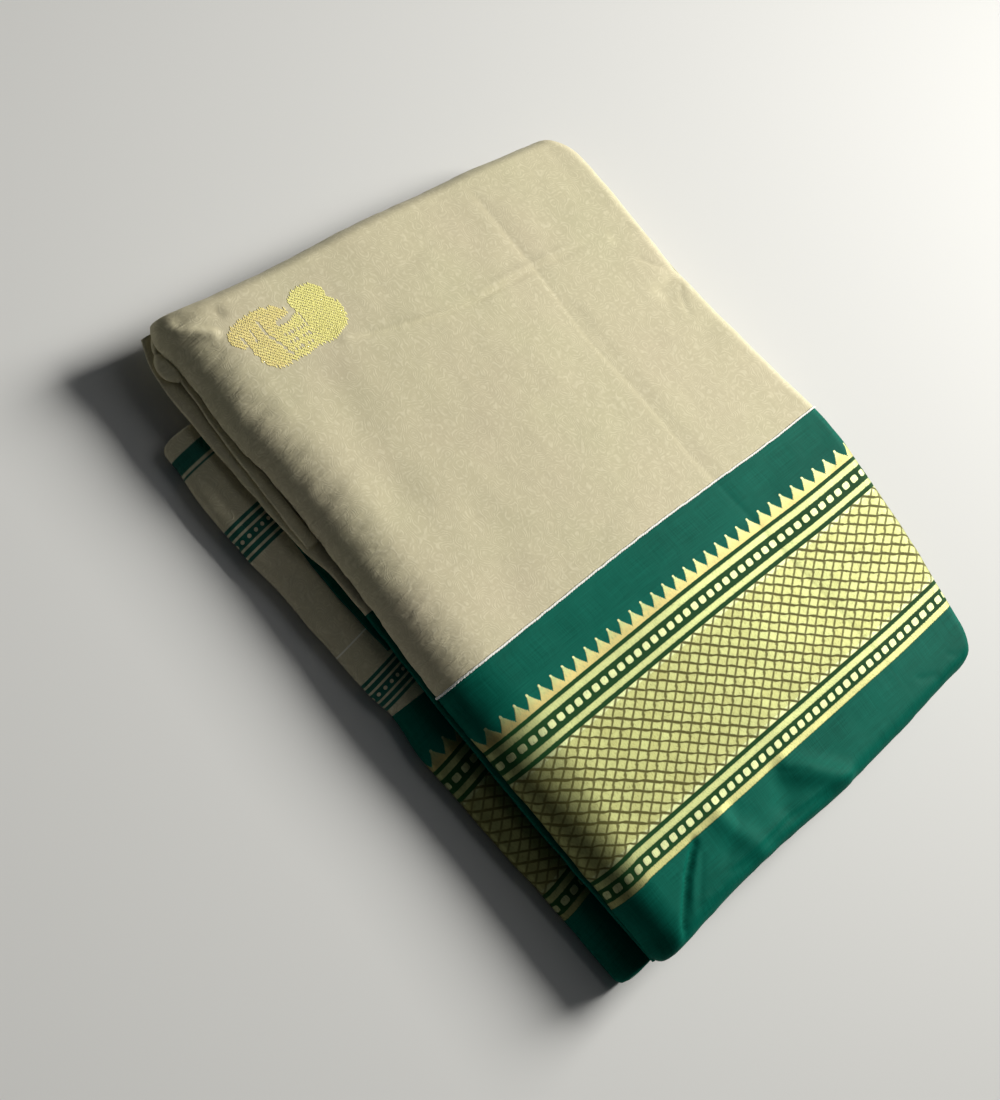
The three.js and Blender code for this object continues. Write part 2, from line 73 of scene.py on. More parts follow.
# The tucked stretch under the upper pack: its lip, its leaf and its base
tucked = {
    "crest": [(-190, -139), (-175, -145.5), (-161, -147.4), (-150, -147.6), (-118, -146.8), (-64, -143.2),
              (-45, -139.4), (27, -139.2), (107, -137.8), (190, -133)],
    "height": [(-190, 15.4), (-175, 15.3), (-161, 15.6), (-150, 15.8), (-64, 16.1), (-45, 16.6), (27, 16.8),
               (190, 17)],
    "leafHeight": [(-190, 16.5), (-175, 16.6), (-161, 16.9), (-150, 18.2), (-64, 18.4), (-45, 18.6),
                   (27, 18.8), (190, 18.8)],
    "join": -22.9, "base": 13.4, "leaf": 7, "reachUp": 6, "reachDown": 5, "backInset": 24, "endInset": 3,
    "guess": (-140, 130), "thickness": 0.4, "bodyFlat": (0.165, 0.29), "borderFlat": (0.21, 0.29),
    "crestWave": (0.35, 9, 31), "heightWave": (0.25, 14, 32),       # height, size and seed of its waves
}
# The lower pack: its front, its ends and its stretch of cloth
lower = {
    "front": [(-143, -162), (-107, -163.8), (-79, -162.7), (-52, -160), (-6, -158), (8, -157), (20, -154.4),
              (39, -155.8), (85, -154.3), (140, -150.4), (183, -148.5)],
    "top": 12, "crest": 6, "reachUp": 14, "reachDown": 8, "leaf": 20,
    "leftFront": -143, "leftBack": -161, "right": 182.5, "corner": 5,
    "skew": 0.17, "skewFrom": -160,        # how far its stripes lean near the front
    "joinShift": -6,                       # its join lies this far left of the upper one, at the front
    "guess": (-140, 150), "guessFront": -150, "thickness": 0.45,
    "bodyFlat": (0.175, 0.39), "borderFlat": (0.155, 0.39),
    "crestWave": (0.5, 13, 41), "waves": [(0.3, 15, 42), (0.15, 6, 43, 0, 0.3)],
}

# Main folds of the top face: (x, y) from, (x, y) to, width, rise
mainFolds = {
    "long crease": ((-165, 64), (168, 78), 5, -0.17),
    "cross crease": ((-108, 120), (-136, -62), 4, 0.5),
    "end crease": ((155, -87), (182, -123), 2.2, -0.7),
    "end swell": ((161, -14), (188, 12), 7, 2.9),
    "end ripple": ((157, -66), (184, -58), 7, 1.8),
    "end dent": ((174, -30), (160, -16), 9, -1.6),
    "corner pinch": ((-177, -134), (-168, -121), 3, 1.5),
    "corner hollow": ((-182, -128), (-176, -112), 4, -1.2),
    "back dent": ((-76, 156), (-66, 132), 7, -0.9),
    "front hollow": ((-122, -84), (-58, -95), 13, -0.8),
    "second hollow": ((-30, -62), (16, -84), 12, -0.45),
    "middle swell": ((-90, 10), (110, 0), 45, 0.9),
}

# Creases pressed into the cloth on top of the main folds: points along the line, width, rise
fineCreases = [
    ([(-181, 64), (-122, 65), (-65, 63), (-27, 67), (14, 68), (60, 74), (120, 80), (190, 86)], 1.4, -0.17),
    ([(-111, 115), (-116, 60), (-117, 20), (-119.5, 0), (-127, -36), (-134, -61)], 1.5, -0.95),
    ([(-114, 115), (-119, 60), (-120, 20), (-122.5, 0), (-130, -36)], 1.8, 0.7),
    ([(-181, -118), (-179, -60), (-178, 0), (-175, 80), (-172, 130)], 1.4, 0.45),
    ([(153, -83), (162, -101), (175, -118), (182, -124)], 1.3, -2.1),
    ([(157, -86.5), (165, -99), (178, -115.5)], 1.3, 1.0),
    ([(159.5, -85.5), (168.5, -97), (181, -112)], 1.2, -0.5),
    ([(186, 16), (177.5, -32), (176.5, -67), (174, -84)], 1.3, 0.7),
    ([(188.5, 16), (180, -32), (179, -67), (177, -84)], 1.8, -1.0),
    ([(157, -24), (166, -12), (171, -4)], 1.8, -0.35),
    ([(156, -50), (166, -66), (173, -85)], 5.0, -0.8),
    ([(174, -108), (177, -98), (180, -88)], 1.0, 0.45),
    ([(178, 92), (183, 101), (187, 112)], 1.6, -0.5),
    ([(182, 122), (187, 131), (190, 140)], 1.4, -0.4),
    ([(-73, 150), (-82, 138), (-94, 128)], 1.8, -0.3),
    ([(-72, 150), (-70, 134), (-71, 120)], 1.5, -0.35),
    ([(-71, 150), (-60, 139), (-46, 132)], 1.7, -0.3),
    ([(-84, 154), (-98, 149), (-112, 142)], 2.0, 0.35),
    ([(60, 168), (64, 150), (70, 136)], 2.4, -0.3),
    ([(8, 30), (16, -30), (20, -90)], 3.4, -0.22),
    ([(-62, 48), (-56, -10), (-60, -76)], 3.8, 0.24),
    ([(96, 150), (104, 60), (100, -10)], 4.2, -0.2),
    ([(-160, 40), (-150, -8), (-154, -44)], 3.0, -0.22),
]


def lerp(first, second, share):
    return first + (second - first) * share


# Smooth value of a table of (place, value) rows, at many places at once
def along(table, places):
    keys, values = np.array(table, float).T
    last = len(keys) - 1
    order = np.arange(len(keys))
    before, after = np.maximum(order - 1, 0), np.minimum(order + 1, last)
    slope = (values[after] - values[before]) / (keys[after] - keys[before])
    places = np.clip(np.asarray(places, float), keys[0], keys[-1])
    i = np.clip(np.searchsorted(keys, places, side="right") - 1, 0, last - 1)
    span = keys[i + 1] - keys[i]
    t = (places - keys[i]) / span
    return (lerp(values[i], values[i + 1], t * t * (3 - 2 * t))
            + span * t * (1 - t) * ((1 - t) * slope[i] - t * slope[i + 1]))


# Smooth value noise between -1 and 1, about one hump for each size
def unevenness(x, y, size, seed):
    count = 64
    table = np.random.default_rng(seed).uniform(-1, 1, (count, count))
    column, row = np.asarray(x, float) / size + 31.7, np.asarray(y, float) / size + 17.3
    i, j = np.floor(column).astype(int), np.floor(row).astype(int)
    s, t = column - i, row - j
    s, t = s * s * (3 - 2 * s), t * t * (3 - 2 * t)
    near = lerp(table[i % count, j % count], table[(i + 1) % count, j % count], s)
    far = lerp(table[i % count, (j + 1) % count], table[(i + 1) % count, (j + 1) % count], s)
    return lerp(near, far, t)


# One wave of the noise: its height, size and seed, how far it leans and how much it is drawn out
def wave(x, y, height, size, seed, lean=0, drawn=1):
    return height * unevenness(x + lean * y, y * drawn, size, seed)


# Distance to a line between two points, and the share along it
def distanceTo(x, y, start, end):
    dx, dy = end[0] - start[0], end[1] - start[1]
    t = np.clip(((x - start[0]) * dx + (y - start[1]) * dy) / (dx * dx + dy * dy), 0, 1)
    return np.hypot(x - start[0] - t * dx, y - start[1] - t * dy), t


# Even steps over stretches given as (from, to, count)
def steps(*stretches):
    parts = [np.linspace(low, high, count, endpoint=False) for low, high, count in stretches]
    return np.concatenate(parts + [[stretches[-1][1]]])


# How far a round corner sets an outline in, by the distance from the side
def roundedIn(radius, distance):
    left = 1 - np.clip(distance, 0, radius) / radius
    return radius * (1 - np.sqrt(np.maximum(1 - left * left, 0)))


# Outline of the upper pack and the place of the white thread
def threadX(y):
    return pack["threadFront"] + pack["threadSlope"] * (y + 140) + along(pack["threadBow"], y)


def leftX(y):
    return along(pack["leftEnd"], y)


def rightX(y):
    return along(pack["rightEnd"], y)


def backEdge(x, y):
    return (along(pack["backCrest"], x) - roundedIn(pack["backLeft"], x - leftX(y))
            - roundedIn(pack["backRight"], rightX(y) - x))


# The plan shift between the source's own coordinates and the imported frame, from a node with a known corner
leafLow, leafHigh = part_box("inner_fold")
innerFold = {
    "x0": -157, "x1": -63, "crest0": -140, "crest1": -143, "bow": 1.2, "z": 19.6, "thick": 1.7, "depth": 7,
    "hidden": 7,                           # how far it runs on under the corner tuck
    "wall": 0.45, "wave": (0.35, 10, 51),
}
planMiddle = np.array([innerFold["x0"] - leafLow[0] * 1000,
                       innerFold["crest0"] + innerFold["depth"] - leafHigh[1] * 1000, 0])


def toFrame(points):
    return (np.asarray(points, float) - planMiddle) * 0.001


def addObject(name, data):
    obj = bpy.data.objects.new(name, data)
    bpy.context.scene.collection.objects.link(obj)
    return obj


# Camera, from the photograph's perspective: eye in plan millimetres, view and up as directions
camera = {
    "eye": (17.69, -558.57, 677.08),
    "view": (-0.03286832, 0.60631983, -0.79454134),
    "up": (-0.78091939, 0.48056467, 0.39902694),
    "lens": 55.636, "near": 0.02, "far": 20,
}


def makeCamera():
    data = bpy.data.cameras.new("camera")
    data.lens, data.clip_start, data.clip_end = camera["lens"], camera["near"], camera["far"]
    view, up = Vector(camera["view"]).normalized(), Vector(camera["up"]).normalized()
    right = view.cross(up).normalized()
    up = right.cross(view)
    turned = Matrix((right, up, -view)).transposed().to_4x4()
    obj = addObject("camera", data)
    obj.matrix_world = Matrix.Translation(Vector(toFrame(camera["eye"]))) @ turned
    bpy.context.scene.camera = obj


makeCamera()
print("camera made")


# Short calls for the nodes of one material
class Recipe:
    def __init__(self, name):
        self.material = bpy.data.materials.new(name)
        self.material.use_nodes = True
        self.tree = self.material.node_tree
        self.tree.nodes.clear()

    def node(self, kind, **settings):
        made = self.tree.nodes.new(kind)
        for key, value in settings.items():
            setattr(made, key, value)
        return made

    def put(self, value, socket):
        if isinstance(value, bpy.types.NodeSocket):
            self.tree.links.new(value, socket)
        else:
            socket.default_value = value

    def math(self, operation, *values):
        made = self.node("ShaderNodeMath", operation=operation)
        for value, socket in zip(values, made.inputs):
            self.put(value, socket)
        return made.outputs[0]

    def times(self, first, second):
        return self.math("MULTIPLY", first, second)

    def plus(self, first, second):
        return self.math("ADD", first, second)

    def minus(self, first, second):
        return self.math("SUBTRACT", first, second)

    def over(self, first, second):
        return self.math("DIVIDE", first, second)

    # How far a value is from the middle of each whole step, 0 to 0.5
    def offMiddle(self, value):
        return self.math("ABSOLUTE", self.minus(self.math("FRACT", value), 0.5))

    def total(self, parts):
        found = parts[0]
        for part in parts[1:]:
            found = self.plus(found, part)
        return found

    # From first to second while the value goes from low to high
    def ramp(self, value, low, high, first=0.0, second=1.0):
        made = self.node("ShaderNodeMapRange")
        for part, socket in zip((value, low, high, first, second), made.inputs):
            self.put(part, socket)
        return made.outputs[0]

    # 1 between low and high, with soft edges
    def between(self, value, low, high, soft=0.15):
        rise = self.ramp(value, low - soft, low + soft)
        fall = self.ramp(value, high - soft, high + soft)
        return self.minus(rise, fall)

    def mix(self, share, first, second):
        made = self.node("ShaderNodeMix", data_type="RGBA")
        # the sockets of a colour mix: its share, its two colours and its result
        for value, place in ((share, 0), (first, 6), (second, 7)):
            self.put(value, made.inputs[place])
        return made.outputs[2]

    def vector(self, x, y, z=0.0):
        made = self.node("ShaderNodeCombineXYZ")
        for value, socket in zip((x, y, z), made.inputs):
            self.put(value, socket)
        return made.outputs[0]

    def noise(self, place, scale=1.0, detail=2.0, distortion=0.0):
        made = self.node("ShaderNodeTexNoise")
        self.put(place, made.inputs["Vector"])
        made.inputs["Scale"].default_value = scale
        made.inputs["Detail"].default_value = detail
        made.inputs["Distortion"].default_value = distortion
        return made.outputs[0]

    # Noise stretched by its own share across and along the cloth
    def grain(self, u, v, across, up, detail=2.0, distortion=0.0):
        return self.noise(self.vector(self.times(u, across), self.times(v, up)), 1.0, detail, distortion)

    # Place across and along the cloth in millimetres, from the piece's own map
    def clothPlace(self):
        parts = self.node("ShaderNodeSeparateXYZ")
        self.tree.links.new(self.node("ShaderNodeUVMap", uv_map="cloth").outputs[0], parts.inputs[0])
        return parts.outputs[0], parts.outputs[1]

    def bump(self, height, distance, strength=1.0):
        made = self.node("ShaderNodeBump")
        made.inputs["Strength"].default_value = strength
        made.inputs["Distance"].default_value = distance
        self.put(height, made.inputs["Height"])
        return made.outputs[0]

    def finish(self, colour, roughness, normal=None, metallic=0.0, sheen=0.0, specular=0.5):
        shader = self.node("ShaderNodeBsdfPrincipled")
        self.put(colour, shader.inputs["Base Color"])
        self.put(roughness, shader.inputs["Roughness"])
        self.put(metallic, shader.inputs["Metallic"])
        shader.inputs["Specular IOR Level"].default_value = specular
        shader.inputs["Sheen Weight"].default_value = sheen
        shader.inputs["Sheen Roughness"].default_value = 0.4
        if normal:
            self.put(normal, shader.inputs["Normal"])
        output = self.node("ShaderNodeOutputMaterial")
        self.tree.links.new(shader.outputs[0], output.inputs[0])
        return self.material


# A screen colour as the linear colour that a shader takes
def paint(*screen):
    parts = [part / 255 for part in screen]
    return (*[c / 12.92 if c <= 0.04045 else ((c + 0.055) / 1.055) ** 2.4 for c in parts], 1.0)


khakiYarn = {
    "light": paint(232, 224, 194), "dark": paint(182, 172, 140),
    "warm": paint(204, 194, 164), "cool": paint(200, 194, 160),
    "thread": 0.42,                        # millimetres from thread to thread
    "figure": 0.38, "figureSize": 0.085, "figureLines": 17,      # the self texture: strength, fineness, lines
    "gather": 32.0, "gatherFrom": -106.0, "gatherTo": -138.0,
    "roughness": 0.8, "relief": 0.000024, "sheen": 0.08, "specular": 0.12,      # relief in metres
}
innerKhaki = {"relief": 0.0002, "strength": 0.7, "sheen": 0.12, "specular": 0.3}
greenYarn = {
    "light": paint(14, 106, 89), "dark": paint(2, 76, 62), "thread": 0.36,
    "roughness": 0.55, "relief": 0.00002, "strength": 0.8, "specular": 0.015,
}
# Gold of the border, with the millimetres from the white thread where each part starts and ends
zari = {
    "pale": paint(154, 159, 108), "cream": paint(168, 174, 128), "orange": paint(168, 140, 82),
    "old": paint(132, 129, 76), "ground": paint(34, 72, 38), "line": paint(82, 77, 38),
    "tooth": 9.0,                          # millimetres from tooth to tooth, as woven
    "cell": 6.36,                          # a lattice cell across
    "pick": 0.5,                           # from gold float to gold float
    "teeth": (24.2, 32.3), "band": (32.3, 124.3), "lattice": (51.3, 108.6), "latticeEdge": 1.9,
    "stripes": [(34.5, 37.7), (46.2, 49.1), (110.7, 113.8), (121.0, 124.1)], "warmStripe": (120.6, 124.4),
    "dots": [(40.1, 43.6), (115.7, 119.2)],
    "metallic": 0.6, "relief": 0.00018, "strength": 0.8,
}


# Plain weave: threads over and under, with thick and thin ones
def weaveHeight(r, u, v, thread):
    slubs = r.plus(r.grain(u, v, 0.05, 2.2), r.grain(u, v, 2.2, 0.05))
    across, upward = (r.math("SINE", r.times(place, math.tau / thread)) for place in (u, v))
    return r.plus(r.times(across, upward), r.times(slubs, 2.4)), slubs


def khakiColour(r, u, v, gathered=True):
    place = r.vector(u, v)
    height, slubs = weaveHeight(r, u, v, khakiYarn["thread"])
    # the woven self texture: short curved lines side by side, like worm tracks
    contour = r.noise(place, khakiYarn["figureSize"], 1.5)
    lines = r.math("SINE", r.times(contour, math.tau * khakiYarn["figureLines"]))
    broken = r.ramp(r.noise(place, 0.34), 0.36, 0.62)
    track = r.times(r.ramp(lines, -0.6, 0.9), broken)
    base = r.mix(r.ramp(r.noise(place, 0.016), 0.3, 0.7), khakiYarn["warm"], khakiYarn["cool"])
    toned = r.mix(r.times(r.ramp(slubs, 0.75, 1.25), 0.3), base, khakiYarn["dark"])
    marked = r.mix(r.times(track, khakiYarn["figure"]), toned, khakiYarn["light"])
    relief = r.plus(r.times(height, 0.1), track)
    if gathered:
        # short fine gathers where the cloth goes over the front lip
        ridge = r.math("ABSOLUTE", r.minus(r.grain(u, v, 0.42, 0.06, distortion=0.6), 0.5))
        nearLip = r.times(r.ramp(v, khakiYarn["gatherFrom"], khakiYarn["gatherTo"]), khakiYarn["gather"])
        relief = r.plus(relief, r.times(ridge, nearLip))
    return marked, relief


def khakiMaterial():
    r = Recipe("khaki cotton")
    colour, relief = khakiColour(r, *r.clothPlace())
    return r.finish(colour, khakiYarn["roughness"], r.bump(relief, khakiYarn["relief"]),
                    sheen=khakiYarn["sheen"], specular=khakiYarn["specular"])


# Khaki of the lower pack and of the hidden layers, with a deeper relief
def finishInner(r, colour, roughness, height):
    relief = r.bump(height, innerKhaki["relief"], innerKhaki["strength"])
    return r.finish(colour, roughness, relief, sheen=innerKhaki["sheen"], specular=innerKhaki["specular"])


def greenColour(r, u, v):
    height, slubs = weaveHeight(r, u, v, greenYarn["thread"])
    patches = r.noise(r.vector(u, r.times(v, 0.25)), 0.05)
    share = r.plus(r.times(r.ramp(patches, 0.3, 0.7), 0.4), r.times(r.ramp(slubs, 0.7, 1.3), 0.6))
    return r.mix(share, greenYarn["dark"], greenYarn["light"]), height


def bandMask(r, value, bands, soft=0.2):
    return r.total([r.between(value, low, high, soft) for low, high in bands])


# Temple teeth: stepped triangles with their tips towards the body, their inner part, and a dot on each tip
def templeTeeth(r, edge, count):
    start, end = zari["teeth"]
    toothShare = r.over(r.math("SNAP", r.minus(edge, start), 0.8), end - start)
    fromMiddle = r.times(r.offMiddle(count), 2.0)
    filled = r.math("POWER", r.times(r.math("MAXIMUM", toothShare, 0.0), 1.22), 1.25)
    teeth = r.times(r.ramp(r.minus(r.plus(filled, 0.12), fromMiddle), -0.05, 0.05),
                    r.between(edge, start, end + 0.2, 0.1))
    beside = r.times(fromMiddle, zari["tooth"] / 2)
    above = r.minus(edge, start + 0.4)
    tip = r.ramp(r.plus(r.math("POWER", beside, 2.0), r.times(above, above)), 0.35, 0.8, 1.0, 0.0)
    return teeth, r.times(teeth, r.ramp(toothShare, 0.25, 0.7)), tip


# Rounded square dots, four for each three teeth
def squareDots(r, edge, count):
    dotAway = r.times(r.offMiddle(r.times(count, 4 / 3)), 2.0)
    columns = []
    for low, high in zari["dots"]:
        sideAway = r.over(r.math("ABSOLUTE", r.minus(edge, (low + high) / 2)), (high - low) / 2)
        away = r.plus(r.math("POWER", sideAway, 4.0), r.math("POWER", r.over(dotAway, 0.66), 4.0))
        columns.append(r.ramp(away, 0.8, 1.3, 1.0, 0.0))
    return r.total(columns)


# The lattice: fine lines both ways round small diamonds, with a tone for each diamond
def latticeNet(r, u, count, wobble):
    start, end = zari["lattice"]
    cells = r.over(r.minus(u, start), zari["cell"])
    down, up = (r.plus(r.math(turn, cells, count), r.times(wobble, 0.12)) for turn in ("SUBTRACT", "ADD"))
    downNumber, upNumber = r.math("FLOOR", down), r.math("FLOOR", up)
    strength = r.noise(r.vector(r.times(downNumber, 3.7), 0.5), 1.0, 0.0)
    downWidth = r.ramp(strength, 0.35, 0.65, 0.39, 0.34)
    downLine = r.ramp(r.minus(r.offMiddle(down), downWidth), -0.03, 0.06)
    upLine = r.times(r.ramp(r.offMiddle(up), 0.34, 0.44), 0.85)
    tone = r.noise(r.vector(r.times(downNumber, 7.3), r.times(upNumber, 5.1)), 1.0, 0.0)
    inside = r.between(u, start, end)
    gold = r.times(inside, r.minus(1.0, r.times(r.math("MAXIMUM", downLine, upLine), 0.88)))
    edges = r.math("MAXIMUM", r.between(u, start, start + zari["latticeEdge"], 0.3),
                   r.between(u, end - zari["latticeEdge"], end, 0.3))
    return gold, inside, tone, r.times(edges, inside)


# The border's gold: a share from 0 to 1 and its colour, and where the lattice lies
def borderGold(r, u, v):
    wobble = r.minus(r.noise(r.vector(r.times(u, 0.1), v), 0.9, 3.0), 0.5)
    edge = r.plus(u, r.times(wobble, 0.7))
    count = r.over(v, zari["tooth"])
    teeth, toothInside, tip = templeTeeth(r, edge, count)
    dots = squareDots(r, edge, count)
    lattice, inLattice, tone, latticeEdges = latticeNet(r, u, count, wobble)
    stripes = bandMask(r, edge, zari["stripes"])
    gold = r.math("MINIMUM", r.total([teeth, stripes, dots, lattice]), 1.0)
    worn = r.mix(r.times(tone, 0.7), zari["pale"], zari["old"])
    warmStripe = r.between(u, *zari["warmStripe"], 0.2)
    colour = r.mix(inLattice, zari["pale"], worn)
    pale = r.math("MAXIMUM", dots, latticeEdges)
    warm, warmer = r.times(toothInside, 0.55), r.times(warmStripe, 0.2)
    for share, over in ((pale, "cream"), (warm, "orange"), (warmer, "orange"), (tip, "cream")):
        colour = r.mix(share, colour, zari[over])
    return r.math("MAXIMUM", gold, tip), colour, inLattice


def borderMaterial():
    r = Recipe("green and gold border")
    u, v = r.clothPlace()
    green, height = greenColour(r, u, v)
    gold, goldColour, inLattice = borderGold(r, u, v)
    ground = r.mix(r.between(u, *zari["band"], 0.4), green, zari["ground"])
    ground = r.mix(inLattice, ground, zari["line"])
    picks = r.math("SINE", r.times(v, math.tau / zari["pick"]))
    worn = r.times(gold, r.ramp(r.grain(u, v, 0.5, 2.2), 0.3, 0.5, 0.55, 1.0))
    relief = r.plus(r.times(height, 0.05), r.times(gold, r.plus(0.5, r.times(picks, 0.08))))
    return r.finish(r.mix(worn, ground, goldColour), greenYarn["roughness"],
                    r.bump(relief, zari["relief"], zari["strength"]),
                    metallic=r.times(gold, zari["metallic"]), specular=greenYarn["specular"])


# Plain green cotton beyond the gold, on the stretches that show none
def plainGreenMaterial():
    r = Recipe("plain green cotton")
    green, height = greenColour(r, *r.clothPlace())
    return r.finish(green, greenYarn["roughness"], r.bump(height, greenYarn["relief"], greenYarn["strength"]),
                    specular=greenYarn["specular"])


# Lower stretch: khaki with a green bar, thin lines and two dotted bands, which end on the underside
lowerBands = {
    "bars": [(-154.5, -147.0), (-145.4, -144.4)],
    "dotted": [(-114.5, 18.5), (-19.5, 17.0)],      # where each starts and how wide it is
    "gaps": [(0.10, 0.17), (0.30, 0.37), (0.63, 0.70), (0.83, 0.90)],       # khaki lines, as shares of a band
    "dotPitch": 4.5, "dotAcross": 0.055, "dotAlong": 0.24,
    "paleThread": -36.5, "paleHalf": 0.4, "pale": paint(236, 232, 214),
    "end": -120,                                    # the stripes end this far along, on the underside
    "roughness": 0.7,
}


def stripedMaterial():
    r = Recipe("striped khaki cotton")
    u, v = r.clothPlace()
    colour, height = khakiColour(r, u, v, False)
    green, _ = greenColour(r, u, v)
    stripes, dots = [bandMask(r, u, lowerBands["bars"], 0.3)], []
    rowAway = r.over(r.offMiddle(r.over(v, lowerBands["dotPitch"])), lowerBands["dotAlong"])
    for start, width in lowerBands["dotted"]:
        inBand = r.over(r.minus(u, start), width)
        gaps = bandMask(r, inBand, lowerBands["gaps"], 0.01)
        stripes.append(r.minus(r.between(inBand, 0.0, 1.0, 0.01), gaps))
        sideAway = r.over(r.math("ABSOLUTE", r.minus(inBand, 0.5)), lowerBands["dotAcross"])
        away = r.plus(r.math("POWER", sideAway, 2.0), r.math("POWER", rowAway, 2.0))
        dots.append(r.ramp(away, 0.8, 1.2, 1.0, 0.0))
    middle, half = lowerBands["paleThread"], lowerBands["paleHalf"]
    pale = r.between(u, middle - half, middle + half, 0.1)
    woven = r.ramp(v, lowerBands["end"] - 0.3, lowerBands["end"] + 0.3)
    masks = (r.total(stripes), r.total(dots), pale)
    for mask, over in zip(masks, (green, khakiYarn["warm"], lowerBands["pale"])):
        colour = r.mix(r.times(mask, woven), colour, over)
    return finishInner(r, colour, lowerBands["roughness"], height)


# Edges of the hidden folds: khaki turning green where the border lies
def layeredMaterial():
    r = Recipe("layered folds")
    u, v = r.clothPlace()
    khaki, height = khakiColour(r, u, v)
    green, _ = greenColour(r, u, v)
    return finishInner(r, r.mix(r.ramp(u, -0.5, 0.5), khaki, green), 0.75, height)


def threadMaterial():
    r = Recipe("white thread")
    place = r.node("ShaderNodeTexCoord").outputs["Object"]
    shade = r.noise(place, 900.0)
    colour = r.mix(shade, paint(228, 226, 216), paint(253, 252, 248))
    return r.finish(colour, 0.7, r.bump(shade, 0.0002), sheen=0.2)


def butaMaterial():
    r = Recipe("gold buta floats")
    tone = r.node("ShaderNodeAttribute", attribute_name="tone").outputs["Fac"]
    place = r.node("ShaderNodeTexCoord").outputs["Object"]
    glint = r.noise(place, 1400.0)
    base = r.mix(tone, paint(250, 244, 150), paint(240, 220, 146))
    colour = r.mix(r.ramp(glint, 0.4, 0.7, 0.0, 0.3), base, paint(214, 196, 108))
    return r.finish(colour, 0.6, r.bump(glint, 0.00002), sheen=0.1, specular=0.2)


materials = {
    "khaki_cotton": khakiMaterial(), "green_zari": borderMaterial(), "striped_cotton": stripedMaterial(),
    "layered_cotton": layeredMaterial(), "thread": threadMaterial(), "buta": butaMaterial(),
    "plain_green": plainGreenMaterial(),
}
print("materials made")


def normalsOf(points):
    alongU, alongV = np.gradient(points, axis=0), np.gradient(points, axis=1)
    normal = np.cross(alongU, alongV)
    return normal / np.maximum(np.linalg.norm(normal, axis=2, keepdims=True), 1e-9)


# A mesh from a grid of points, with its cloth map in millimetres across and along
def gridMesh(name, points, clothMap, material, around=False):
    rows, columns = points.shape[:2]
    index = np.arange(rows * columns).reshape(rows, columns)
    near, far = (index, np.roll(index, -1, axis=1)) if around else (index[:, :-1], index[:, 1:])
    faces = np.stack([near[:-1], near[1:], far[1:], far[:-1]], axis=-1).reshape(-1, 4)
    mesh = bpy.data.meshes.new(name)
    mesh.from_pydata(toFrame(points.reshape(-1, 3)).tolist(), [], faces.tolist())
    corners = np.empty(len(mesh.loops), int)
    mesh.loops.foreach_get("vertex_index", corners)
    layer = mesh.uv_layers.new(name="cloth")
    layer.data.foreach_set("uv", clothMap.reshape(-1, 2)[corners].astype(np.float32).ravel())
    mesh.polygons.foreach_set("use_smooth", np.ones(len(mesh.polygons), bool))
    mesh.materials.append(material)
    mesh.update()
    return addObject(name, mesh)


# Gives a sheet its thickness, inwards from the face that shows
def thicken(obj, thickness):
    wall = obj.modifiers.new("thickness", "SOLIDIFY")
    wall.thickness, wall.offset, wall.use_rim = thickness * 0.001, -1, True


# Flat faces over the first and the last ring of a closed tube
def closeEnds(obj, count):
    mesh = obj.data
    total = len(mesh.vertices)
    work = bmesh.new()
    work.from_mesh(mesh)
    work.verts.ensure_lookup_table()
    work.faces.new([work.verts[i] for i in range(count)])
    work.faces.new([work.verts[i] for i in range(total - 1, total - count - 1, -1)])
    bmesh.ops.recalc_face_normals(work, faces=work.faces)
    work.to_mesh(mesh)
    work.free()


# Puts a piece into the frame in place of its CAD node
def placePiece(obj, node):
    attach(obj, "root")
    if node:
        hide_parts(node)


# How long a tooth is on the cloth, and how wide the pattern lies, by the place along the pack
toothLength = [(-140, 8.8), (-55, 8.7), (20, 9.2), (100, 10.4), (160, 11.6)]
patternWidth = [(-140, 1.0), (-112, 1.01), (3, 1.053), (70, 1.063), (165, 1.075)]


# The map of a stretch: across from its join, along from y = 0 on its upper face, both as woven
def clothMapOf(points, joinX):
    x, y = points[:, :, 0], points[:, :, 1]
    stepU = np.linalg.norm(np.diff(points, axis=0), axis=2)
    stepV = np.linalg.norm(np.diff(points, axis=1), axis=2)
    stepV = stepV * zari["tooth"] / along(toothLength, (y[:, 1:] + y[:, :-1]) / 2)
    u = np.concatenate([np.zeros((1, x.shape[1])), np.cumsum(stepU, axis=0)])
    v = np.concatenate([np.zeros((x.shape[0], 1)), np.cumsum(stepV, axis=1)], axis=1)
    rows, columns = np.argmin(np.abs(x - joinX(y)), axis=0), np.arange(x.shape[1])
    u = u - u[rows, columns] + (x - joinX(y))[rows, columns]
    underneath = points[:, :, 2] < 10
    zero = np.argmin(np.abs(y) + 1000 * underneath, axis=1)
    v = v - v[np.arange(x.shape[0]), zero][:, None]
    return np.stack([u / along(patternWidth, y), v], axis=-1)


# Points over the upper pack. Each side row has its share across, how far it is set in at the left and at the
# right, and its drop.
def topPoints(low, high, sides, places):
    share, insetLow, insetHigh, endDrop = (np.array(part)[:, None] for part in zip(*sides))
    place = np.asarray(places)[None, :]
    angle = np.radians(place)
    onTop = (place - 90) / 90
    y = lerp(*pack["guess"], np.clip(onTop, 0, 1)) + 0 * share
    for settle in range(3):
        x = lerp(low(y) + insetLow, high(y) - insetHigh, share)
        front = (along(pack["frontLip"], x) + roundedIn(pack["frontLeft"], x - leftX(y))
                 + roundedIn(pack["frontRight"], rightX(y) - x))
        back = backEdge(x, y)
        reach = along(pack["frontReach"], x)
        flat = lerp(front + reach, back - pack["backReach"], onTop)
        y = np.select([place < 0, place <= 90, place <= 180],
                      [front + pack["lip"] * (1 - np.cos(angle)), front + reach * (1 - np.cos(angle)), flat],
                      back - pack["backReach"] * (1 + np.sin(angle)))
    return x, y, place, endDrop


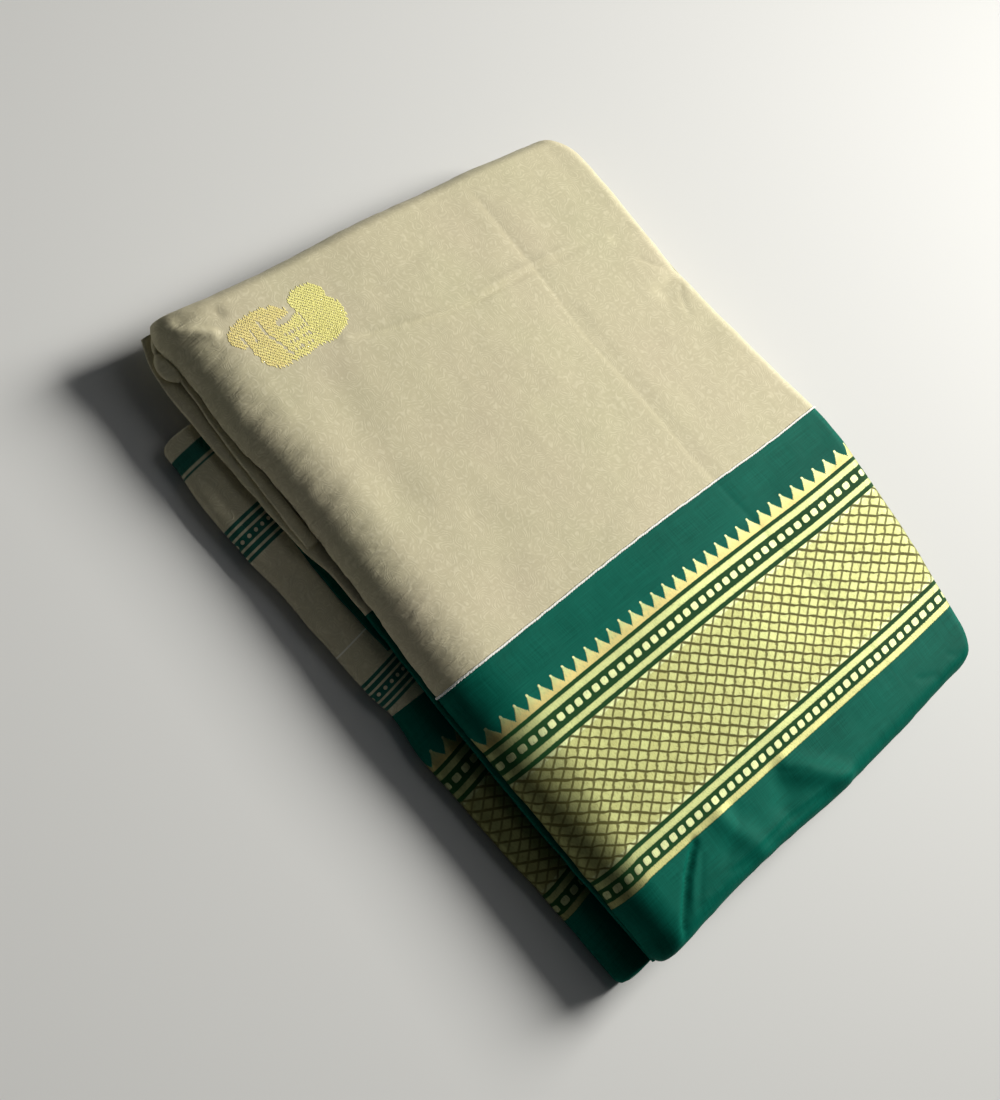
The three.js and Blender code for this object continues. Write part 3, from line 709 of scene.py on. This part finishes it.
def topSurface(low, high, sides, places):
    x, y, place, endDrop = topPoints(low, high, sides, places)
    front, back, sag, power = (pack[key] for key in ("frontHeight", "backHeight", "cornerSag", "endRound"))
    endDrop = endDrop * (1 + pack["cornerDrop"] * np.clip((y - 80) / 50, 0, 1))
    sine = np.sin(np.radians(place))
    drop = np.select([place < 0, place <= 90, place <= 180],
                     [front - pack["lip"] * sine, front * (1 - sine), 0 * sine],
                     back * (1 - np.sin(np.radians(270 - place))))
    both = (drop ** power + endDrop ** power) ** (1 / power)
    # a corner hangs only a little lower than the back roll
    both = np.minimum(both, back) + sag * (1 - np.exp(-np.maximum(both - back, 0) / sag))
    relief = np.zeros_like(x)
    for start, end, width, rise in mainFolds.values():
        away, _ = distanceTo(x, y, start, end)
        relief += rise * np.exp(-((away / width) ** 2))
    settle = 1 - np.minimum(both / back, 1) ** 2
    return np.stack([x, y, pack["topLevel"] - both + relief * settle], axis=-1), both


# Small relief of the top cloth. Each wave has its height, size and seed, and may lean and be drawn out.
smallRelief = {
    "slow": [(0.35, 46, 3), (0.16, 17, 4), (0.05, 6, 5)],
    "creaseWidth": (0.3, 12, 6),
    "gathers": [(1, 7.5, 11, 0, 0.12), (0.6, 4.2, 12, 0.16, 0.1), (0.7, 15, 13, -0.1, 0.14)],
    "gather": 0.27, "gatherStart": -84, "gatherReach": 34,
    "crimps": [(1, 4.6, 16, 0.35, 0.16), (1, 3.4, 17, -0.2, 0.16)],
    "crimp": 0.24, "crimpStart": -102, "crimpReach": 24,
    "back": (0.22, 11, 14, 0, 0.2), "backStart": 128, "backReach": 30,
    "edge": (0.22, 8, 15), "edgeDrop": 6,
}


# One pressed crease, at most 1 high, starting and ending softly
def creaseShape(x, y, line, width):
    best = np.zeros_like(x)
    last = len(line) - 1
    for i in range(last):
        away, t = distanceTo(x, y, line[i], line[i + 1])
        fade = np.clip(np.minimum(i + t, last - i - t) / 0.5, 0, 1)
        best = np.maximum(best, np.exp(-np.abs(away / width) ** 1.5) * fade)
    return best


def wrinkles(x, y, both):
    total = sum(wave(x, y, *row) for row in smallRelief["slow"])
    uneven = 1 + wave(x, y, *smallRelief["creaseWidth"])
    for line, width, rise in fineCreases:
        total += rise * creaseShape(x, y, line, width * uneven)
    # gathers run down over the front roll, most of them on the khaki side
    nearFront = np.clip((smallRelief["gatherStart"] - y) / smallRelief["gatherReach"], 0, 1) ** 1.4
    khakiSide = np.clip((40 - x) / 30, 0.25, 1)
    gathers = sum(wave(x, y, *row) for row in smallRelief["gathers"])
    total += smallRelief["gather"] * gathers * nearFront * khakiSide
    nearLip = np.clip((smallRelief["crimpStart"] - y) / smallRelief["crimpReach"], 0, 1)
    for row in smallRelief["crimps"]:
        crimp = (1 - np.abs(wave(x, y, *row))) ** 3
        total -= smallRelief["crimp"] * (crimp - 0.4) * nearLip * khakiSide
    nearBack = np.clip((y - smallRelief["backStart"]) / smallRelief["backReach"], 0, 1)
    total += wave(x, y, *smallRelief["back"]) * nearBack
    total += wave(x, y, *smallRelief["edge"]) * np.clip(both / smallRelief["edgeDrop"], 0, 1)
    return total


topSheets = {"thickness": 0.45, "bodyFlat": (0.226, 0.348), "borderFlat": (0.176, 0.348)}


def topCloth(name, low, high, sides, node, slot):
    places = steps((-pack["lipTurn"], 0, 3), (0, 90, 26), (90, 180, 205), (180, 270, 18))
    points, both = topSurface(low, high, sides, places)
    moved = points + normalsOf(points) * wrinkles(points[:, :, 0], points[:, :, 1], both)[:, :, None]
    obj = gridMesh(name, moved, clothMapOf(points, threadX), materials[slot])
    thicken(obj, topSheets["thickness"])
    placePiece(obj, node)
    return moved


# An end's roll: how far each row is set in and its drop. Below the roll the end hangs down.
def endRoll(reach, height, turns):
    rows = []
    for turn in turns:
        sine, cosine = math.sin(math.radians(turn)), math.cos(math.radians(turn))
        turned, hanging = (reach * (1 - cosine), height * (1 - sine)), (0.0, height - pack["endLip"] * sine)
        rows.append(turned if turn > 0 else hanging)
    return rows


def makeTop():
    rolled = endRoll(pack["leftReach"], pack["leftHeight"], np.linspace(-40, 78, 12))
    sides = [(0.0, inset, 0.0, drop) for inset, drop in rolled]
    sides += [(share, pack["leftReach"], 0.0, 0.0) for share in steps((0, 1, 155))]
    body = topCloth("topBodyCloth", leftX, threadX, sides, "top_body", "khaki_cotton")
    rolled = endRoll(pack["rightReach"], pack["rightHeight"], np.linspace(78, -40, 12))
    sides = [(share, 0.0, pack["rightReach"], 0.0) for share in steps((0, 1, 115))]
    sides += [(1.0, 0.0, inset, drop) for inset, drop in rolled]
    topCloth("topBorderCloth", threadX, rightX, sides, "top_border", "green_zari")
    return body


bodyPoints = makeTop()
print("top cloth made")


# Peacock buta, charted: ovals of gold floats, and lines left open between them
peacock = {
    "ovals": [(-161.4, -65.5, 6.8, 11.5, 0.0), (-149.6, -68.5, 12.4, 17.3, 0.0), (-148, -85, 10.6, 22.5, 0.3),
              (-158.5, -96, 9.6, 17, 0.75), (-160, -104, 7.4, 13, 0.9), (-150, -99, 12.6, 10.5, 0.8)],
    "open": [([(-170, -77.6), (-159, -77.2), (-157.2, -81), (-157.3, -87.5)], 1.7),
             ([(-163, -97.3), (-155, -97.3), (-148.7, -94.8), (-141.3, -92.2)], 0.55),
             ([(-156.5, -74.6), (-150.5, -74.8)], 0.5),
             ([(-150.2, -77), (-150.6, -89)], 0.45), ([(-145.9, -76), (-146.2, -89)], 0.45),
             ([(-141.8, -78), (-142.0, -89)], 0.45),
             ([(-161, -103.5), (-154, -104.2)], 0.5), ([(-160.5, -110.2), (-154.5, -109.6)], 0.5)],
    "low": -118.5, "high": -50.6, "left": -170.0, "right": -136.2,
    "row": 0.74, "pitch": 2.1, "length": 2.25, "width": 0.95, "height": 0.1, "lift": 0.07, "seed": 91,
    # the least and the most that a float may differ
    "shifts": (-0.12, 0.12), "edges": (-0.09, 0.05), "lifts": (0.6, 1.2), "lengths": (0.8, 1.08),
    "tones": (-0.1, 0.1), "turns": (-0.09, 0.09),
}


# Places of the floats on the top cloth, with their normals, lengths and tones
def floatPlaces(cloth):
    random = np.random.default_rng(peacock["seed"])
    vertices, polygons = cloth.data.vertices, cloth.data.polygons
    tree = BVHTree.FromPolygons([v.co for v in vertices], [p.vertices[:] for p in polygons])

    def draw(key):
        return random.uniform(*peacock[key])

    found = []
    for number, y in enumerate(np.arange(peacock["low"], peacock["high"], peacock["row"])):
        shift = (number * 0.38 % 1 + draw("shifts")) * peacock["pitch"]
        for x in np.arange(peacock["left"] + shift, peacock["right"], peacock["pitch"]):
            edge = 1 + draw("edges")
            inside = [(((x - cx) / rx) ** 2 + ((y - cy) / ry) ** 2, tone)
                      for cx, cy, rx, ry, tone in peacock["ovals"]]
            reached = [(0.15 + away, tone) for away, tone in inside if away < edge]
            openLine = any(distanceTo(x, y, line[i], line[i + 1])[0] < half
                           for line, half in peacock["open"] for i in range(len(line) - 1))
            if not reached or openLine:
                continue
            tone = sum(tone / away for away, tone in reached) / sum(1 / away for away, _ in reached)
            origin = Vector(toFrame((x, y, pack["topLevel"] + 20)))
            place, normal, _, _ = tree.ray_cast(origin, Vector((0, 0, -1)))
            place = place + normal * (peacock["lift"] * 0.001 * draw("lifts"))
            found.append((place, normal, draw("lengths"), tone + draw("tones"), draw("turns")))
    return found


def namedInput(tree, name, kind):
    node = tree.nodes.new("GeometryNodeInputNamedAttribute")
    node.data_type = kind
    node.inputs["Name"].default_value = name
    return node.outputs[0]


# Small long beads on the points, turned along the pick and laid on the cloth
def floatTree(material):
    tree = bpy.data.node_groups.new("buta floats", "GeometryNodeTree")
    tree.interface.new_socket(name="Geometry", in_out="INPUT", socket_type="NodeSocketGeometry")
    sizes = {name: tree.interface.new_socket(name=name, in_out="INPUT", socket_type="NodeSocketFloat")
             for name in ("float length", "float width", "float height")}
    tree.interface.new_socket(name="Geometry", in_out="OUTPUT", socket_type="NodeSocketGeometry")
    start, end = tree.nodes.new("NodeGroupInput"), tree.nodes.new("NodeGroupOutput")
    bead = tree.nodes.new("GeometryNodeMeshUVSphere")
    bead.inputs["Segments"].default_value, bead.inputs["Rings"].default_value = 8, 4
    bead.inputs["Radius"].default_value = 0.5
    lengthen = tree.nodes.new("ShaderNodeMath")
    lengthen.operation = "MULTIPLY"
    size = tree.nodes.new("ShaderNodeCombineXYZ")
    alongPick = tree.nodes.new("ShaderNodeCombineXYZ")
    alongPick.inputs[0].default_value = 1.0
    turnX, turnZ = (tree.nodes.new("FunctionNodeAlignRotationToVector") for _ in range(2))
    turnX.axis, turnZ.axis, turnZ.pivot_axis = "X", "Z", "X"
    spread = tree.nodes.new("GeometryNodeInstanceOnPoints")
    realize, look = tree.nodes.new("GeometryNodeRealizeInstances"), tree.nodes.new("GeometryNodeSetMaterial")
    look.inputs["Material"].default_value = material
    link = tree.links.new
    link(start.outputs["float length"], lengthen.inputs[0])
    link(namedInput(tree, "length", "FLOAT"), lengthen.inputs[1])
    link(lengthen.outputs[0], size.inputs[0])
    link(start.outputs["float width"], size.inputs[1])
    link(start.outputs["float height"], size.inputs[2])
    link(namedInput(tree, "turn", "FLOAT"), alongPick.inputs[1])
    link(alongPick.outputs[0], turnX.inputs["Vector"])
    link(turnX.outputs[0], turnZ.inputs["Rotation"])
    link(namedInput(tree, "up", "FLOAT_VECTOR"), turnZ.inputs["Vector"])
    link(start.outputs["Geometry"], spread.inputs["Points"])
    link(bead.outputs["Mesh"], spread.inputs["Instance"])
    link(turnZ.outputs[0], spread.inputs["Rotation"])
    link(size.outputs[0], spread.inputs["Scale"])
    link(spread.outputs[0], realize.inputs[0])
    link(realize.outputs[0], look.inputs["Geometry"])
    link(look.outputs[0], end.inputs["Geometry"])
    return tree, sizes


def makeButa():
    found = floatPlaces(bpy.data.objects["topBodyCloth"])
    places, ups, lengths, tones, turns = zip(*found)
    mesh = bpy.data.meshes.new("butaPoints")
    mesh.from_pydata([tuple(place) for place in places], [], [])
    upward = mesh.attributes.new("up", "FLOAT_VECTOR", "POINT")
    upward.data.foreach_set("vector", np.array(ups, np.float32).ravel())
    for name, values in (("length", lengths), ("tone", tones), ("turn", turns)):
        mesh.attributes.new(name, "FLOAT", "POINT").data.foreach_set("value", np.array(values, np.float32))
    points = addObject("butaPoints", mesh)
    tree, sizes = floatTree(materials["buta"])
    modifier = points.modifiers.new("floats", "NODES")
    modifier.node_group = tree
    for name, key in (("float length", "length"), ("float width", "width"), ("float height", "height")):
        modifier[sizes[name].identifier] = peacock[key] * 0.001
    evaluated = points.evaluated_get(bpy.context.evaluated_depsgraph_get())
    plain = bpy.data.meshes.new_from_object(evaluated)
    plain.polygons.foreach_set("use_smooth", np.ones(len(plain.polygons), bool))
    bpy.data.objects.remove(points)
    placePiece(addObject("butaFloats", plain), None)
    print("buta floats", len(found), "faces", len(plain.polygons))


makeButa()
print("buta made")


# White thread that joins body and border, laid over the join with small stitches
whiteThread = {
    "radius": 0.62, "rise": 0.5, "sides": 6, "step": 0.55,
    "stitch": 1.9, "swell": 0.1, "tug": 0.05,       # length of a stitch, how it swells and pulls sideways
    "sway": (0.18, 5, 21), "flatness": 0.6,
}


def makeThread():
    line = bodyPoints[-1] + normalsOf(bodyPoints)[-1] * whiteThread["rise"]
    length = np.concatenate([[0], np.cumsum(np.linalg.norm(np.diff(line, axis=0), axis=1))])
    places = np.linspace(0, length[-1], int(length[-1] / whiteThread["step"]))
    centre = np.stack([np.interp(places, length, line[:, k]) for k in range(3)], axis=-1)
    ahead = np.gradient(centre, axis=0)
    ahead /= np.linalg.norm(ahead, axis=1, keepdims=True)
    side = np.cross(ahead, (1.0, 0, 0))
    side /= np.linalg.norm(side, axis=1, keepdims=True)
    across = np.cross(side, ahead)
    beat = np.sin(places * math.tau / whiteThread["stitch"])
    sway = wave(places, 0 * places, *whiteThread["sway"]) + whiteThread["tug"] * np.sign(beat)
    centre = centre + across * sway[:, None]
    radius = (whiteThread["radius"] * (1 + whiteThread["swell"] * beat))[:, None]
    rings = []
    for angle in np.arange(whiteThread["sides"]) / whiteThread["sides"] * math.tau:
        upright = side * whiteThread["flatness"] * math.sin(angle)
        rings.append(centre + radius * (across * math.cos(angle) - upright))
    points = np.stack(rings, axis=1)
    obj = gridMesh("whiteThread", points, points[:, :, :2], materials["thread"], around=True)
    closeEnds(obj, whiteThread["sides"])
    placePiece(obj, None)


makeThread()
print("white thread made")


# Tucked stretch: a leaf under the front lip, its own lip, and the underside of the upper pack
def tuckedPoints(low, high, shares, places):
    share, place = np.array(shares)[:, None], np.asarray(places)[None, :]
    y = lerp(*tucked["guess"], np.clip(place - 3, 0, 1)) + 0 * share
    x = lerp(low(y), high(y), share)
    crest, height, upper = (along(tucked[key], x) for key in ("crest", "height", "leafHeight"))
    crest = crest + wave(x, 0 * x, *tucked["crestWave"])
    height = height + wave(x, 0 * x, *tucked["heightWave"])
    reachUp, reachDown, base = tucked["reachUp"], tucked["reachDown"], tucked["base"]
    turn = np.radians(90 * (2 - place))
    end = along(pack["backCrest"], x) - tucked["backInset"]
    inner = crest + reachUp
    y = np.select([place <= 1, place <= 2, place <= 3],
                  [lerp(inner + tucked["leaf"], inner, place), crest + reachUp * (1 - np.cos(turn)),
                   crest + reachDown * (1 - np.cos(turn))],
                  lerp(crest + reachDown, end, place - 3))
    z = np.select([place <= 1, place <= 2, place <= 3],
                  [upper, height + (upper - height) * np.sin(turn), height + (height - base) * np.sin(turn)],
                  0 * x + base)
    return np.stack([x, y, z], axis=-1)


def tuckedLeft(y):
    return leftX(y) + tucked["endInset"]


def tuckedRight(y):
    return rightX(y) - tucked["endInset"]


def tuckedJoin(y):
    return tucked["join"] + 0 * y


# Green stretches and leaves that show none of the gold are plain green
def plainLook(slot):
    return materials["plain_green" if slot == "green_zari" else slot]


def makeTucked():
    places = steps((0, 1, 5), (1, 2, 9), (2, 3, 9), (3, 3.1, 8), (3.1, 4, 24))[::-1]
    stretches = [
        ("tuckedBodyCloth", tuckedLeft, tuckedJoin, 110,
         "tucked_body", "khaki_cotton", tucked["bodyFlat"]),
        ("tuckedBorderCloth", tuckedJoin, tuckedRight, 130,
         "tucked_border", "green_zari", tucked["borderFlat"]),
    ]
    for name, low, high, count, node, slot, flat in stretches:
        points = tuckedPoints(low, high, steps((0, 1, count)), places)
        obj = gridMesh(name, points, clothMapOf(points, tuckedJoin), plainLook(slot))
        thicken(obj, tucked["thickness"])
        placePiece(obj, node)


makeTucked()
print("tucked stretch made")


# Lower stretch: over the lower pack's front, underneath and up round the back to the upper cloth
def joinLower(y):
    share = np.clip((y + 140) / 280, 0, 1)
    return threadX(y) + lower["joinShift"] * (1 - share)


def lowerLeft(y):
    return lerp(lower["leftFront"], lower["leftBack"], (y + 140) / 280)


def lowerRight(y):
    return lower["right"] + 0 * y


def lowerPoints(low, high, shares, places):
    share, place = np.array(shares)[:, None], np.asarray(places)[None, :]
    onBase = np.clip(place - 3, 0, 1)
    y = np.where(place <= 3, lower["guessFront"], lerp(*lower["guess"], onBase)) + 0.0 * share
    up, turn = np.radians(90 * (2 - place)), np.radians(90 * (place - 5))
    reachUp, reachDown = lower["reachUp"], lower["reachDown"]
    for settle in range(3):
        x = lerp(low(y), high(y), share)
        ends = roundedIn(lower["corner"], x - lowerLeft(y)) + roundedIn(lower["corner"], lower["right"] - x)
        crest = along(lower["front"], x) + ends + wave(x, 0 * x, *lower["crestWave"])
        back = backEdge(x, y)
        y = np.select([place <= 1, place <= 2, place <= 3, place <= 4],
                      [lerp(crest + reachUp + lower["leaf"], crest + reachUp, place),
                       crest + reachUp * (1 - np.cos(up)), crest + reachDown * (1 - np.cos(up)),
                       lerp(crest + reachDown, back - pack["backReach"], place - 3)],
                      back - pack["backReach"] * (1 - np.cos(turn)))
    backTop = pack["topLevel"] - pack["backHeight"]
    z = np.select([place <= 1, place <= 2, place <= 3, place <= 4],
                  [0 * x + lower["top"], lower["crest"] + (lower["top"] - lower["crest"]) * np.sin(up),
                   lower["crest"] * (1 + np.sin(up)), 0 * x],
                  backTop * (1 + np.sin(turn)))
    return np.stack([x, y, z], axis=-1)


def makeLower():
    places = steps((0, 1, 12), (1, 2, 14), (2, 3, 8), (3, 3.06, 8), (3.06, 3.94, 30), (3.94, 4, 6),
                   (4, 5, 22))[::-1]
    stretches = [
        ("lowerBodyCloth", lowerLeft, joinLower, steps((0, 0.06, 9), (0.06, 1, 110)),
         "lower_body", "striped_cotton", lower["bodyFlat"]),
        ("lowerBorderCloth", joinLower, lowerRight, steps((0, 0.94, 110), (0.94, 1, 9)),
         "lower_border", "green_zari", lower["borderFlat"]),
    ]
    for name, low, high, shares, node, slot, flat in stretches:
        points = lowerPoints(low, high, shares, places)
        x, y, z = points[:, :, 0], points[:, :, 1], points[:, :, 2]
        # the underside stays flat
        amount = sum(wave(x, y, *row) for row in lower["waves"]) * np.clip(z / 6, 0, 1)
        moved = points + normalsOf(points) * amount[:, :, None]
        clothMap = clothMapOf(points, joinLower)
        ahead = np.clip(y, -170, -120) - lower["skewFrom"]
        clothMap[:, :, 0] += lower["skew"] * ahead * np.clip(z / 4, 0, 1) * (y < 0)
        obj = gridMesh(name, moved, clothMap, materials[slot])
        thicken(obj, lower["thickness"])
        placePiece(obj, node)


makeLower()
print("lower stretch made")


# Folded leaves: two layers and the turn between them
underFold = {
    "x0": -84, "x1": -4, "crest0": -142, "crest1": -139, "bow": 1.6, "z": 12.7, "thick": 0.8, "depth": 22,
    "hidden": 0, "wall": 0.3, "wave": (0.35, 10, 52),
}
mapStart = 26                              # the maps of the small folds start here, near the white thread


def mapStartX(y):
    return mapStart + 0 * y


def foldedLeaf(name, leaf, node, slot):
    share = steps((0, 1, 70))[:, None]
    place = steps((0, 1, 8), (1, 2, 10), (2, 3, 8))[::-1][None, :]
    x = lerp(leaf["x0"] - leaf["hidden"], leaf["x1"], share) + 0 * place
    crest = lerp(leaf["crest0"], leaf["crest1"], share) - leaf["bow"] * np.sin(math.pi * share)
    crest = crest + wave(x, 0 * x, *leaf["wave"])
    half = leaf["thick"] / 2
    angle = np.radians(90 - 180 * (place - 1))
    inner, outer = crest + leaf["depth"], crest + half
    y = np.select([place <= 1, place >= 2], [lerp(inner, outer, place), lerp(outer, inner, place - 2)],
                  crest + half * (1 - np.cos(angle)))
    z = np.select([place <= 1, place >= 2], [leaf["z"] + half + 0 * x, leaf["z"] - half + 0 * x],
                  leaf["z"] + half * np.sin(angle))
    points = np.stack([x, y, z], axis=-1)
    obj = gridMesh(name, points, clothMapOf(points, mapStartX), plainLook(slot))
    thicken(obj, leaf["wall"])
    placePiece(obj, node)


foldedLeaf("innerFoldCloth", innerFold, "inner_fold", "khaki_cotton")
foldedLeaf("underFoldCloth", underFold, "under_fold", "green_zari")
print("folded leaves made")


# Rolled fold at the left front corner
cornerTuck = {
    # x, y, z, half width and half height along the roll
    "rolls": [(-188.5, -130.5, 18.6, 1.4, 1.0), (-184.5, -134.6, 18.8, 3.0, 1.9),
              (-179.6, -138.2, 18.7, 2.9, 1.7), (-177.2, -140.2, 18.2, 1.3, 0.8),
              (-174, -141.2, 19.0, 3.4, 2.2), (-169, -141.9, 19.4, 4.4, 2.5),
              (-164, -141.3, 19.4, 3.8, 2.2), (-160.5, -139.6, 19.0, 1.2, 0.9)],
    "flat": (0.03, 0.012), "thickness": 0.4, "crumple": (0.16, 2.6, 61),
}


def makeCornerTuck():
    rolls = np.array(cornerTuck["rolls"])
    x = np.linspace(rolls[0, 0], rolls[-1, 0], 60)[:, None]
    y, z, across, up = (along(rolls[:, (0, k)], x) for k in (1, 2, 3, 4))
    angle = np.linspace(0, math.tau, 24, endpoint=False)[None, :]
    crumple = 1 + wave(x, angle * 3, *cornerTuck["crumple"]) * np.sin(angle) ** 2
    points = np.stack([x + 0 * angle, y + across * crumple * np.cos(angle), z + up * crumple * np.sin(angle)],
                      axis=-1)
    clothMap = points[:, :, :2] - (mapStart, 0)
    obj = gridMesh("cornerTuckCloth", points, clothMap, materials["khaki_cotton"], around=True)
    thicken(obj, cornerTuck["thickness"])
    placePiece(obj, "corner_tuck")


makeCornerTuck()
print("corner tuck made")


# Hidden layers: a stack of folded edges, each set in and out a little on its own
upperLayers = {
    "base": 14.8, "top": 31.7, "folds": 8, "left": 4.6, "right": 4.4, "front": 15, "back": 5,
    "bulge": 1.0, "sway": 1.3, "seed": 70,
}
lowerLayers = {
    "base": 1.4, "top": 10.9, "folds": 5, "left": 3.2, "right": 3.2, "front": 14, "back": 8,
    "bulge": 1.0, "sway": 1.0, "seed": 80,
}
# For both stacks: shares up one fold with how far out it comes there, the ring round them, and the size of the
# plan that the noise is laid on
layerShape = {
    "rounding": [(0, 0), (0.12, 0.62), (0.3, 0.92), (0.5, 1), (0.7, 0.92), (0.88, 0.62)],
    "corner": 0.045, "count": 130, "width": 380, "length": 300, "guess": (-130, 150), "ripple": (0.25, 40, 5),
}


# A square from 0 to 1 with round corners, as points round it
def roundedRing(corner, count):
    arcs = []
    for x, y, start in ((1 - corner, corner, -90), (1 - corner, 1 - corner, 0), (corner, 1 - corner, 90),
                        (corner, corner, 180)):
        angles = np.radians(start + np.arange(8) * 90 / 7)
        arcs.append(np.stack([x + corner * np.cos(angles), y + corner * np.sin(angles)], axis=-1))
    parts = []
    for arc, following in zip(arcs, arcs[1:] + arcs[:1]):
        parts += [arc, lerp(arc[-1], following[0], np.arange(1, count)[:, None] / count)]
    return np.concatenate(parts).T


def layerStack(name, layers, left, right, front, node):
    a, b = roundedRing(layerShape["corner"], layerShape["count"])
    across, upward = a * layerShape["width"], b * layerShape["length"]
    guess = lerp(*layerShape["guess"], b)
    rise = (layers["top"] - layers["base"]) / layers["folds"]
    rows = []
    for fold in range(layers["folds"]):
        seed = layers["seed"] + fold
        own = np.random.default_rng(seed).uniform(-1, 1, 4) * layers["sway"]
        sway = wave(across, upward, 0.6 * layers["sway"], 60, seed) + wave(across, upward, 0.2, 9, seed)
        rows += [(fold + share, out, own, sway) for share, out in layerShape["rounding"]]
    rows.append((layers["folds"], 0, own, sway))
    points = []
    for level, out, own, sway in rows:
        moved = sway + layers["bulge"] * (1 - out)
        low = left(guess) + layers["left"] + own[0] + moved
        high = right(guess) - layers["right"] - own[1] - moved
        x = lerp(low, high, a)
        near = along(front, x) + layers["front"] + own[2] + moved
        far = along(pack["backCrest"], x) - layers["back"] - own[3] * 0.5 - moved
        ripple = wave(across, upward, *layerShape["ripple"]) * math.sin(math.pi * level / layers["folds"])
        points.append(np.stack([x, lerp(near, far, b), layers["base"] + level * rise + ripple], axis=-1))
    points = np.array(points)[::-1]
    x, y, z = points[:, :, 0], points[:, :, 1], points[:, :, 2]
    clothMap = np.stack([x - threadX(y), y + z * 3], axis=-1)
    obj = gridMesh(name, points, clothMap, materials["layered_cotton"], around=True)
    closeEnds(obj, points.shape[1])
    placePiece(obj, node)


layerStack("upperLayers", upperLayers, leftX, rightX, pack["frontLip"], "upper_folds")
layerStack("lowerLayers", lowerLayers, lowerLeft, lowerRight, lower["front"], "lower_folds")
print("layers made")


# Room: a plain pale floor, one large soft light from behind and above, a weaker, larger one from behind and
# higher up
studio = {
    "floor": 4.0, "below": 0.0002, "floorColour": (0.66, 0.66, 0.65, 1),
    "world": (0.85, 0.93, 1.0), "worldStrength": 0.036,
    "lamps": {
        "key": {
            "place": (0.3, 2.07, 1.2), "size": 0.9, "power": 14.0, "colour": (1.0, 0.985, 0.94), "spread": 60,
        },
        "panel": {
            "place": (0.1, 0.9, 1.26), "size": 1.2, "power": 2.6, "colour": (1.0, 1.0, 0.98), "spread": 180,
        },
    },
}


def makeStudio():
    half = studio["floor"] / 2
    mesh = bpy.data.meshes.new("floor")
    corners = [(-half, -half, 0), (half, -half, 0), (half, half, 0), (-half, half, 0)]
    mesh.from_pydata(corners, [], [(0, 1, 2, 3)])
    floor = addObject("floor", mesh)
    floor.location.z = -studio["below"]
    r = Recipe("pale floor")
    mesh.materials.append(r.finish(studio["floorColour"], 0.9, specular=0.1))
    world = bpy.data.worlds.new("studio")
    world.use_nodes = True
    background = world.node_tree.nodes["Background"]
    background.inputs["Color"].default_value = (*studio["world"], 1)
    background.inputs["Strength"].default_value = studio["worldStrength"]
    bpy.context.scene.world = world
    for name, light in studio["lamps"].items():
        data = bpy.data.lights.new(name, "AREA")
        data.shape, data.size = "SQUARE", light["size"]
        data.energy, data.color = light["power"], light["colour"]
        data.spread = math.radians(light["spread"])
        lamp = addObject(name, data)
        lamp.location = light["place"]
        lamp.rotation_euler = (-Vector(light["place"])).to_track_quat("-Z", "Y").to_euler()
    bpy.context.scene.view_settings.view_transform = "Standard"


makeStudio()
print("studio made")
